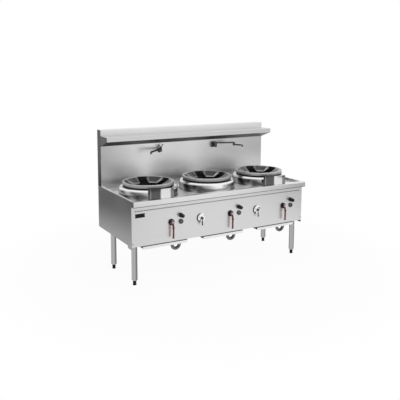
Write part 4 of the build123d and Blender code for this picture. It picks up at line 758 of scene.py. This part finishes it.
# ---- water valves: domed rosettes, hubs and bodies, each with a hanging lever
valveSizes = dict(rosette=0.042, depth=0.007, hub=0.0125, stand=0.012)
valves = Shape()
for side in ("left", "right"):
    size = valveSizes
    handle, low, high = middle("water_handle_" + side)
    panel = middle("front_panel")[1].y
    axisZ = high.z - size["hub"]
    spot = (handle.x, panel, axisZ)
    dome = [(size["rosette"] * math.cos(a), 0.0015 + (size["depth"] - 0.0015) * math.sin(a))
            for a in (math.radians(62) * n / 10 for n in range(11))]
    valves.turned([(0.0061, 0), (size["rosette"] - 0.0006, 0), (size["rosette"], 0.0008)] + dome
                  + [(0.0135, size["depth"]), (size["hub"], 0.0078), (size["hub"], size["stand"] - 0.001),
                     (size["hub"] - 0.001, size["stand"]), (0.0061, size["stand"])], spot, (0, -1, 0), 72,
                  loop=True)
    valves.turned([(0.0061, 0), (size["hub"], 0), (size["hub"], 0.020), (0.0145, 0.021), (0.0145, 0.034),
                   (size["hub"], 0.035), (size["hub"], 0.052), (0.0061, 0.052)], spot, (0, 1, 0), 48, loop=True)
    valves.turned([(0, 0), (0.010, 0), (0.010, 0.030), (0, 0.030)], (handle.x, -0.313, axisZ - 0.038))
    lever = Shape()
    front = panel - size["stand"] - 0.0003
    lever.turned([(0, 0), (0.0118, 0), (0.0125, 0.0008), (0.0125, 0.0150), (0.0112, 0.0182), (0.0085, 0.0196),
                  (0, 0.0200)],
                 (handle.x, front, axisZ), (0, -1, 0), 48)
    lever.turned([(0, 0), (0.006, 0), (0.006, high.y - front), (0, high.y - front)], (handle.x, front, axisZ),
                 (0, 1, 0), 24)
    blade = eased([(handle.x, front - 0.010, axisZ - 0.004), (handle.x, front - 0.012, axisZ - 0.022),
                   (handle.x, front - 0.0165, axisZ - 0.0615)], 0.014, 8)
    lever.swept(blade, lambda t: 0.0062 - 0.0016 * math.sin(math.pi * min(1, t * 1.4)), sides=20, flat=0.60,
                lean=(1, 0, 0))
    piece("waterLever" + side.title(), lever, [tapDark], "water_handle_" + side,
          ("water_handle_" + side,))
tint = valves.mesh.verts.layers.float.new("tint")
valveSpots = [middle("water_handle_" + side) for side in ("left", "right")]
for vert in valves.mesh.verts:  # a dark band on one side of each rosette, as it mirrors in the photograph
    for handle, low, high in valveSpots:
        out = Vector((vert.co.x - handle.x, vert.co.z - high.z + valveSizes["hub"]))
        if vert.co.y < panelLow.y and 0.030 < out.length < 0.0425:
            vert[tint] = (min(1.0, max(0.0, 0.35 - out.x / out.length * 1.3))
                          * min(1.0, (out.length - 0.030) / 0.004))
piece("waterValves", valves, [valveChrome], "frame", ("water_valves",))

# ---- blank nameplate with a raised border and two rivets
plate, low, high = middle("nameplate")
badge, rivets = Shape(), Shape()
badge.block((low.x, low.y + 0.0006, low.z), (high.x, high.y, high.z), 0.0004)
for a, b in (((low.x, low.z), (high.x, low.z + 0.0012)), ((low.x, high.z - 0.0012), (high.x, high.z)),
             ((low.x, low.z), (low.x + 0.0012, high.z)), ((high.x - 0.0012, low.z), (high.x, high.z))):
    badge.block((a[0], low.y, a[1]), (b[0], low.y + 0.001, b[1]), 0.0002)
for end in (low.x + 0.006, high.x - 0.006):
    rivets.turned([(0, 0), (0.0020, 0), (0.0018, 0.0005), (0.0011, 0.0008), (0, 0.0009)],
                  (end, low.y + 0.0008, plate.z), (0, -1, 0), 16)
piece("nameplateBlank", badge, [plateBlack], "frame", ("nameplate",))
piece("nameplateRivets", rivets, [tapBright], "frame")
print("stage: controls made")

# ---- legs and levelling feet
legSizes = dict(radius=0.025, under=0.036, chamfer=0.009, flange=0.030, flangeHeight=0.004, bore=0.00805,
                boreDepth=0.090)
footSizes = dict(radius=0.016, height=0.035, stem=0.008, ribs=10, thread=0.0005)
legs = Shape()
legTop = middle("legs")[2].z
footCorners = ("front_left", "front_right", "rear_left", "rear_right")
for corner in footCorners:
    spot = middle("foot_" + corner)[0]
    size = legSizes
    legs.turned([(size["bore"], size["under"] + size["boreDepth"]), (size["bore"], size["under"]),
                 (size["radius"] - size["chamfer"], size["under"]),
                 (size["radius"] - 0.0012, size["under"] + size["chamfer"] - 0.0008),
                 (size["radius"], size["under"] + size["chamfer"] + 0.001), (size["radius"], legTop - 0.009),
                 (size["radius"] + 0.0012, legTop - 0.006),
                 (size["radius"] + 0.0032, legTop - size["flangeHeight"]),
                 (size["flange"] - 0.0006, legTop - size["flangeHeight"]),
                 (size["flange"], legTop - size["flangeHeight"] + 0.0006), (size["flange"], legTop),
                 (0, legTop), (0, size["under"] + size["boreDepth"])],
                (spot.x, spot.y, 0), steps=72, loop=True)
    foot = Shape()
    size = footSizes

    def ribbed(angle, height):
        return 1 - 0.05 * max(0.0, math.cos(angle * size["ribs"])) ** 2 if 0.009 < height < 0.026 else 1.0

    foot.turned([(0, 0), (size["radius"] - 0.0015, 0), (size["radius"], 0.0015), (size["radius"], 0.0070),
                 (size["radius"] - 0.0015, 0.0085), (size["radius"] - 0.0022, 0.0100),
                 (size["radius"] - 0.0022, 0.0170), (size["radius"] - 0.0016, 0.0250),
                 (size["radius"], 0.0275), (size["radius"], 0.0320),
                 (size["radius"] - 0.0030, size["height"]), (size["stem"], size["height"])]
                + [(size["stem"] - size["thread"] * (k % 2), size["height"] + 0.0012 * k) for k in range(1, 58)]
                + [(0, size["height"] + 0.0695)], (spot.x, spot.y, 0), steps=60, flute=ribbed)
    piece("levellingFoot" + corner.title().replace("_", ""), foot, [blackMatt], "foot_" + corner,
          ("foot_" + corner,))
# painted reflection: dark and pale bands around each leg
tint = legs.mesh.verts.layers.float.new("tint")
legBands = [(-180, 0.3), (-118, 0.9), (-92, 0.7), (-72, 0.05), (-52, 0.30), (-20, 0.15), (8, 0.55), (36, 0.9),
            (60, 0.8), (180, 0.3)]
legSpots = [middle("foot_" + corner)[0] for corner in footCorners]
for vert in legs.mesh.verts:
    spot = min(legSpots, key=lambda m: (m.x - vert.co.x) ** 2 + (m.y - vert.co.y) ** 2)
    vert[tint] = bandShare(legBands, math.degrees(math.atan2(vert.co.x - spot.x, spot.y - vert.co.y)))
piece("roundLegs", legs, [steels["legSteel"]], "frame", ("legs",), 30.0)

# ---- left tap: flange, neck and barrel, swinging spout, handle with two wings
tapSizes = dict(flange=0.022, neck=0.009, barrel=0.013, post=0.007, spoutTube=0.0078, wing=0.0048)


def leftTap():
    size = tapSizes
    low, high = middle("tap_body")[1:]
    splash = middle("splashback")[1].y
    handle, handleLow = middle("tap_handle")[:2]
    x, y = handle.x, handle.y
    neckZ = low.z + size["flange"]
    shape = Shape()
    shape.turned([(0, -0.002), (size["neck"], -0.002), (size["neck"], 0), (size["flange"] - 0.0005, 0),
                  (size["flange"], 0.0006), (size["flange"] - 0.001, 0.0036), (size["flange"] - 0.006, 0.0056),
                  (size["neck"] + 0.002, 0.0062), (size["neck"], 0.008), (size["neck"], splash - y),
                  (0, splash - y)], (x, splash, neckZ),
                 (0, -1, 0), 48)
    shape.turned([(0, -0.010), (0.011, -0.010), (size["barrel"], -0.008), (size["barrel"], -0.0045),
                  (size["barrel"] - 0.0008, -0.004), (size["barrel"] - 0.0008, -0.003),
                  (size["barrel"], -0.0025), (size["barrel"], 0.0085), (size["barrel"] - 0.0012, 0.010),
                  (size["post"], 0.010), (size["post"], high.z - neckZ), (0.00305, high.z - neckZ),
                  (0.00305, 0.004), (0, 0.004)],
                 (x, y, neckZ), (0, 0, 1), 48)
    piece("tapBody", shape, [tapDark], "frame", ("tap_body",))
    low, high = middle("tap_spout")[1:]
    away = Vector((low.x - x, low.y - y, 0)).normalized()
    under = high.z - 0.018
    mid = high.z - 0.009
    end = Vector((low.x + size["spoutTube"] + 0.002, low.y + size["spoutTube"] + 0.002, 0))
    bend = end + Vector((0, 0, mid - 0.012))
    shape = Shape()
    shape.turned([(size["post"] + 0.00005, 0), (size["barrel"] - 0.001, 0), (size["barrel"], 0.001),
                  (size["barrel"], 0.017), (size["barrel"] - 0.001, 0.018),
                  (size["post"] + 0.00005, 0.018)], (x, y, under), (0, 0, 1),
                 48, loop=True)
    start = Vector((x, y, mid)) + away * 0.010
    shape.swept(eased([start, bend, (end.x, end.y, low.z + 0.010)], 0.016, 10), lambda t: 0.0088 - 0.0010 * t,
                sides=20, flat=1.3, lean=(0, 0, 1))
    piece("tapSpout", shape, [tapDark], "spout", ("tap_spout",))
    tipShape = Shape()
    tipShape.turned([(0.0058, 0), (0.0095, 0), (0.0098, 0.001), (0.0098, 0.0100), (0.0090, 0.0112),
                     (0.0058, 0.0112)],
                    (end.x, end.y, low.z), (0, 0, 1), 36, loop=True)
    piece("spoutTip", tipShape, [tapBright], "spout")
    shape = Shape()
    under = handleLow.z + 0.024
    shape.turned([(0, -0.024), (0.003, -0.024), (0.003, 0), (0.0105, 0), (0.011, 0.0006), (0.011, 0.0095),
                  (0.0095, 0.012), (0.004, 0.0135), (0, 0.0138)], (x, y, under), (0, 0, 1), 40)
    for way in (-1, 1):
        tip = Vector((x + way * 0.0240, y, under + 0.006 + 0.0240))
        shape.swept(eased([(x + way * 0.004, y, under + 0.006), (x + way * 0.012, y, under + 0.016), tip],
                          0.006, 5),
                    lambda t: size["wing"] * (0.85 + 0.15 * t), sides=14)
        shape.ball(tip, size["wing"] * 0.95, 16)
    piece("tapHandle", shape, [tapDark], "tap_handle", ("tap_handle",))


# ---- right tap: square plate, barrel and a jointed arm
fillerSizes = dict(neck=0.009, barrel=0.014, arm=0.0072, hub=0.012, pin=0.0055, nozzle=0.0098)


def potFiller():
    size = fillerSizes
    low, high = middle("filler_body")[1:]
    splash = middle("splashback")[1].y
    innerLow, innerHigh = middle("filler_inner_arm")[1:]
    outerLow, outerHigh = middle("filler_outer_arm")[1:]
    x = innerLow.x + size["hub"]
    y = innerHigh.y - size["hub"]
    endX = innerHigh.x - size["hub"]
    endY = innerLow.y + size["hub"]
    barrelTop = innerHigh.z - 0.0203
    neckZ = barrelTop - 0.016
    shape = Shape()
    shape.block((low.x, splash - 0.008, low.z), (high.x, splash, high.z), 0.0016)
    shape.turned([(0, 0), (0.015, 0), (0.013, 0.003), (size["neck"], 0.005), (size["neck"], splash - 0.008 - y),
                  (0, splash - 0.008 - y)],
                 (x, splash - 0.008, neckZ), (0, -1, 0), 40)
    shape.turned([(0, -0.032), (0.012, -0.032), (size["barrel"], -0.030), (size["barrel"], -0.0012),
                  (size["barrel"] - 0.0012, 0), (size["pin"] + 0.00005, 0), (size["pin"] + 0.00005, -0.017),
                  (0, -0.017)], (x, y, barrelTop),
                 (0, 0, 1), 48)
    piece("fillerBody", shape, [tapDark], "frame", ("filler_body",))
    shape = Shape()
    under = innerHigh.z - 0.020
    dome = [(0.0105, 0.0190), (0.006, 0.0198), (0, 0.0200)]
    shape.turned([(0, -0.016), (size["pin"], -0.016), (size["pin"], 0), (0.0112, 0), (size["hub"], 0.0008),
                  (size["hub"], 0.0178)] + dome,
                 (x, y, under), (0, 0, 1), 44)
    shape.turned([(size["pin"] + 0.00005, 0), (0.0112, 0), (size["hub"], 0.0008), (size["hub"], 0.0150),
                  (0.0112, 0.0158), (0, 0.0158), (0, 0.0156)],
                 (endX, endY, under), (0, 0, 1), 44)
    shape.swept([(x + (endX - x) * t, y + (endY - y) * t, under + 0.010) for t in (0.05, 0.3, 0.6, 0.95)],
                size["arm"], sides=20)
    piece("fillerInnerArm", shape, [tapDark], "filler_inner", ("filler_inner_arm",))
    cap = Shape()
    cap.turned([(0, 0.0150), (size["hub"] - 0.0002, 0.0150), (size["hub"], 0.0158), (size["hub"], 0.0185),
                (0.0100, 0.0198), (0, 0.0200)],
               (endX, endY, under), (0, 0, 1), 44)
    piece("fillerJointCap", cap, [tapBright], "filler_inner")
    shape = Shape()
    top = outerHigh.z - 0.016 - 0.0003
    mid = top - 0.010
    end = Vector((outerHigh.x - size["nozzle"] + 0.001, outerLow.y + size["nozzle"] - 0.001, 0))
    shape.turned([(0, -0.020), (0.0108, -0.020), (size["hub"], -0.0186), (size["hub"], -0.0008), (0.0112, 0),
                  (size["pin"], 0), (size["pin"], 0.0150), (0, 0.0150)], (endX, endY, top), (0, 0, 1), 44)
    shape.swept(eased([(endX, endY, mid), (end.x, end.y, mid), (end.x, end.y, outerLow.z + 0.008)], 0.020, 10),
                size["arm"], sides=20)
    piece("fillerOuterArm", shape, [tapDark], "filler_outer", ("filler_outer_arm",))
    tipShape = Shape()
    tipShape.turned([(0.0052, 0), (0.0086, 0), (0.0088, 0.001), (0.0088, 0.0100), (0.0080, 0.0112),
                     (0.0052, 0.0112)],
                    (end.x, end.y, outerLow.z), (0, 0, 1), 36, loop=True)
    piece("fillerTip", tipShape, [tapBright], "filler_outer")


leftTap()
potFiller()
print("stage: taps made")


# ---- what repeats is grown with geometry nodes
class Tree:  # one geometry node tree with named sizes
    def __init__(self, name):
        self.group = bpy.data.node_groups.new(name, "GeometryNodeTree")
        self.group.interface.new_socket("Geometry", in_out="INPUT", socket_type="NodeSocketGeometry")
        self.group.interface.new_socket("Geometry", in_out="OUTPUT", socket_type="NodeSocketGeometry")
        self.entry = self.group.nodes.new("NodeGroupInput")
        self.leave = self.group.nodes.new("NodeGroupOutput")
        self.sizes = {}

    def size(self, name, value):
        socket = self.group.interface.new_socket(name, in_out="INPUT", socket_type="NodeSocketFloat")
        self.sizes[socket.identifier] = value
        return self.entry.outputs[name]

    def node(self, kind, settings=None, inputs=None, out=0):
        made = self.group.nodes.new(kind)
        for key, value in (settings or {}).items():
            setattr(made, key, value)
        for key, value in (inputs or {}).items():
            for one in value if isinstance(value, list) else [value]:
                if isinstance(one, bpy.types.NodeSocket):
                    self.group.links.new(one, made.inputs[key])
                else:
                    made.inputs[key].default_value = one
        return made.outputs[out]

    def maths(self, operation, first, second):
        return self.node("ShaderNodeMath", {"operation": operation}, {0: first, 1: second})

    def lifted(self, geometry, height):  # moved up along the piece's own Z
        offset = self.node("ShaderNodeCombineXYZ", {}, {"Z": height})
        return self.node("GeometryNodeTransform", {}, {"Geometry": geometry, "Translation": offset})

    def finish(self, geometry, material):
        real = self.node("GeometryNodeRealizeInstances", {}, {"Geometry": geometry})
        painted = self.node("GeometryNodeSetMaterial", {}, {"Geometry": real, "Material": material})
        self.group.links.new(painted, self.leave.inputs[0])


def grown(name, tree, spots, facings):  # plain mesh of what the tree grows on these spots
    seed = bpy.data.meshes.new(name)
    seed.from_pydata([tuple(s) for s in spots], [], [])
    facing = seed.attributes.new("facing", "FLOAT_VECTOR", "POINT")
    facing.data.foreach_set("vector", [v for f in facings for v in f])
    holder = bpy.data.objects.new(name + "Seed", seed)
    bpy.context.scene.collection.objects.link(holder)
    modifier = holder.modifiers.new("grow", "NODES")
    modifier.node_group = tree.group
    for identifier, value in tree.sizes.items():
        modifier[identifier] = value
    held = holder.evaluated_get(bpy.context.evaluated_depsgraph_get())
    data = bpy.data.meshes.new_from_object(held)
    data.name = name
    bpy.data.objects.remove(holder)
    return data


def onFacings(tree, instance):
    facing = tree.node("GeometryNodeInputNamedAttribute", {"data_type": "FLOAT_VECTOR"}, {"Name": "facing"})
    turn = tree.node("FunctionNodeAlignRotationToVector", {"axis": "Z"}, {"Vector": facing})
    points = tree.node("GeometryNodeMeshToPoints", {}, {"Mesh": tree.entry.outputs[0]})
    return tree.node("GeometryNodeInstanceOnPoints", {},
                     {"Points": points, "Instance": instance, "Rotation": turn})


screwSizes = dict(headRadius=0.0045, headHeight=0.002, shankRadius=0.00245, shankLength=0.008, slotWidth=0.0009)


def screwTree(name, material, slots):
    tree = Tree(name)
    head = tree.size("Head Radius", screwSizes["headRadius"])
    height = tree.size("Head Height", screwSizes["headHeight"])
    slot = tree.size("Slot Width", screwSizes["slotWidth"])
    if slots:  # the cross in the head
        long = tree.maths("MULTIPLY", head, 1.1)
        deep = tree.maths("MULTIPLY", height, 0.4)
        bars = []
        for x, y in ((long, slot), (slot, long)):
            extent = tree.node("ShaderNodeCombineXYZ", {}, {"X": x, "Y": y, "Z": deep})
            bars.append(tree.node("GeometryNodeMeshCube", {}, {"Size": extent}))
        both = tree.node("GeometryNodeJoinGeometry", {}, {0: bars})
        tree.finish(onFacings(tree, tree.lifted(both, tree.maths("MULTIPLY", height, 0.80))), material)
        return tree
    low = tree.node("GeometryNodeMeshCylinder", {},
                    {"Vertices": 24, "Radius": head, "Depth": tree.maths("MULTIPLY", height, 0.6)})
    top = tree.node("GeometryNodeMeshCone", {},
                    {"Vertices": 24, "Radius Bottom": head, "Radius Top": tree.maths("MULTIPLY", head, 0.72),
                     "Depth": tree.maths("MULTIPLY", height, 0.39)})
    shank = tree.node("GeometryNodeMeshCylinder", {},
                      {"Vertices": 12, "Radius": tree.size("Shank Radius", screwSizes["shankRadius"]),
                       "Depth": tree.size("Shank Length", screwSizes["shankLength"])})
    parts = [tree.lifted(low, tree.maths("MULTIPLY", height, 0.3)),
             tree.lifted(top, tree.maths("MULTIPLY", height, 0.6)),
             tree.lifted(shank, -screwSizes["shankLength"] / 2)]
    tree.finish(onFacings(tree, tree.node("GeometryNodeJoinGeometry", {}, {0: parts})), material)
    return tree


screwLow, screwHigh = middle("cover_screws")[1:]
panelFace = middle("front_panel")[1].y
rearFace = middle("rear_panel")[2].y
sideScrewX = screwHigh.x - screwSizes["headRadius"]
panelScrewZ = screwLow.z + screwSizes["headRadius"]
rearScrewX = sideScrewX - 0.009
spots = [(way * sideScrewX, panelFace, panelScrewZ + 0.002) for way in (-1, 1)]
facings = [(0, -1, 0)] * 2
rearHeights = [panelScrewZ, middle("gutter_outlet")[2].z - 0.030, middle("splashback")[1].z + 0.027,
               screwHigh.z - screwSizes["headRadius"]]
for z in rearHeights:
    spots += [(x, rearFace, z) for x in (-rearScrewX, 0, rearScrewX)]
    facings += [(0, 1, 0)] * 3
piece("coverScrews", grown("coverScrews", screwTree("screwHeads", steels["frameSteel"], False), spots, facings),
      [],
      "frame", ("cover_screws",))
piece("screwCrosses", grown("screwCrosses", screwTree("screwCrossCuts", blackMatt, True), spots, facings), [],
      "frame")


# ---- floor, light and camera
studio = dict(floorSize=28.0, floorTone=0.80, nearWhite=0.96, fadeStart=1.0, fadeEnd=2.4, worldTone=0.28,
              cardTone=0.02, keyPower=34.0, topPower=16.0, fillPower=9.0)


def backgroundMask(finish):  # rays that meet the white background
    seen = [finish.node("LightPath", {}, {}, out=name) for name in
            ("Is Camera Ray", "Is Glossy Ray", "Is Transmission Ray")]
    return seen[0].maths("MAXIMUM", seen[0], seen[1].maths("MAXIMUM", seen[1], seen[2]))


def floorFinish():
    finish = Finish("studioFloor")
    away = finish.node("VectorMath", {"operation": "LENGTH"}, {0: finish.place()}, out=1)
    fade = finish.node("MapRange", {"interpolation_type": "SMOOTHSTEP"}, {
        "Value": away, "From Min": studio["fadeStart"], "From Max": studio["fadeEnd"],
        "To Min": studio["nearWhite"], "To Max": 1.0})
    mottle = finish.noise(finish.place(), 1.5)
    tone = finish.colourMix(mottle, grey(studio["floorTone"] - 0.01), grey(studio["floorTone"] + 0.01))
    pale = finish.node("BsdfDiffuse", {}, {"Color": tone})
    glow = finish.node("Emission", {}, {"Color": grey(1.0), "Strength": 1.0})
    return finish.close(finish.node("MixShader", {}, {0: backgroundMask(finish) * fade, 1: pale, 2: glow}))


def cardFinish():
    finish = Finish("darkCard")
    felt = finish.noise(finish.place(), 30.0)
    tone = finish.colourMix(felt, grey(studio["cardTone"] * 0.8), grey(studio["cardTone"] * 1.2))
    return finish.close(finish.node("BsdfDiffuse", {}, {"Color": tone}))


bpy.ops.mesh.primitive_plane_add(size=studio["floorSize"], location=(0, 0, 0))
studioFloor = bpy.context.object
studioFloor.name = "studioFloor"
studioFloor.data.materials.append(floorFinish())

# dark cards that only the metal sees, in place of what it mirrored in the photograph
darkCards = {
    "cardFront": ((-2.5, -2.0, 0.004), (-2.5, -4.3, 0.004), (0.10, -4.3, 0.004), (0.10, -2.45, 0.004),
                  (-0.6, -2.45, 0.004)),
    "cardRight": ((2.5, -0.7, 0.004), (2.3, -3.8, 0.004), (5.5, -3.8, 0.004), (5.5, -0.7, 0.004)),
    "cardSide": ((-1.93, 0.0, 0.004), (-1.08, 4.5, 0.004), (-3.8, 4.5, 0.004), (-3.8, 0.0, 0.004)),
}
cardBlack = cardFinish()
for name, corners in darkCards.items():
    data = bpy.data.meshes.new(name)
    data.from_pydata(corners, [], [tuple(range(len(corners)))])
    data.materials.append(cardBlack)
    card = bpy.data.objects.new(name, data)
    bpy.context.scene.collection.objects.link(card)
    card.visible_camera = False  # only the metal sees it


def softbox(name, place, aim, width, height, power):
    lamp = bpy.data.lights.new(name, "AREA")
    lamp.shape, lamp.size, lamp.size_y, lamp.energy = "RECTANGLE", width, height, power
    box = bpy.data.objects.new(name, lamp)
    box.location = place
    box.rotation_mode = "QUATERNION"
    box.rotation_quaternion = (Vector(aim) - Vector(place)).to_track_quat("-Z", "Y")
    box.visible_glossy = False  # so the metal shows the surroundings, not the lamps
    bpy.context.scene.collection.objects.link(box)
    return box


softbox("keyLight", (1.6, -4.4, 3.4), (0.7, -1.6, 0.0), 3.2, 2.0, studio["keyPower"])
softbox("topLight", (-0.2, -0.4, 3.6), (0, -0.2, 0.7), 2.4, 1.2, studio["topPower"])
softbox("fillLight", (-3.2, -3.0, 2.6), (0, 0, 0.8), 1.4, 1.8, studio["fillPower"])

world = bpy.data.worlds.new("studioWorld")
bpy.context.scene.world = world
around = Finish("studioWorld", world)
sky = around.colourMix(backgroundMask(around), grey(studio["worldTone"]), grey(1.0))
around.node("OutputWorld", {}, {"Surface": around.node("Background", {}, {"Color": sky, "Strength": 1.0})})

camera = dict(place=(-2.66255, -4.41253, 1.77866), yaw=30.67, pitch=-8.0, roll=0.33, focal=555.81)
yaw, pitch, roll = (math.radians(camera[k]) for k in ("yaw", "pitch", "roll"))
ahead = Vector((math.sin(yaw) * math.cos(pitch), math.cos(yaw) * math.cos(pitch), math.sin(pitch)))
rightward = Vector((math.cos(yaw), -math.sin(yaw), 0))
upward = rightward.cross(ahead)
camRight = rightward * math.cos(roll) + upward * math.sin(roll)
camUp = upward * math.cos(roll) - rightward * math.sin(roll)
lens = bpy.data.cameras.new("photoCamera")
lens.sensor_width = 36.0
lens.lens = camera["focal"] / 400 * 36.0
lens.shift_y = -0.125
lens.clip_end = 60
viewer = bpy.data.objects.new("photoCamera", lens)
turn = Matrix((camRight, camUp, -ahead)).transposed()
viewer.matrix_world = Matrix.Translation(camera["place"]) @ turn.to_4x4()
bpy.context.scene.collection.objects.link(viewer)
bpy.context.scene.camera = viewer
bpy.context.scene.view_settings.view_transform = "Standard"
print("stage: studio set")
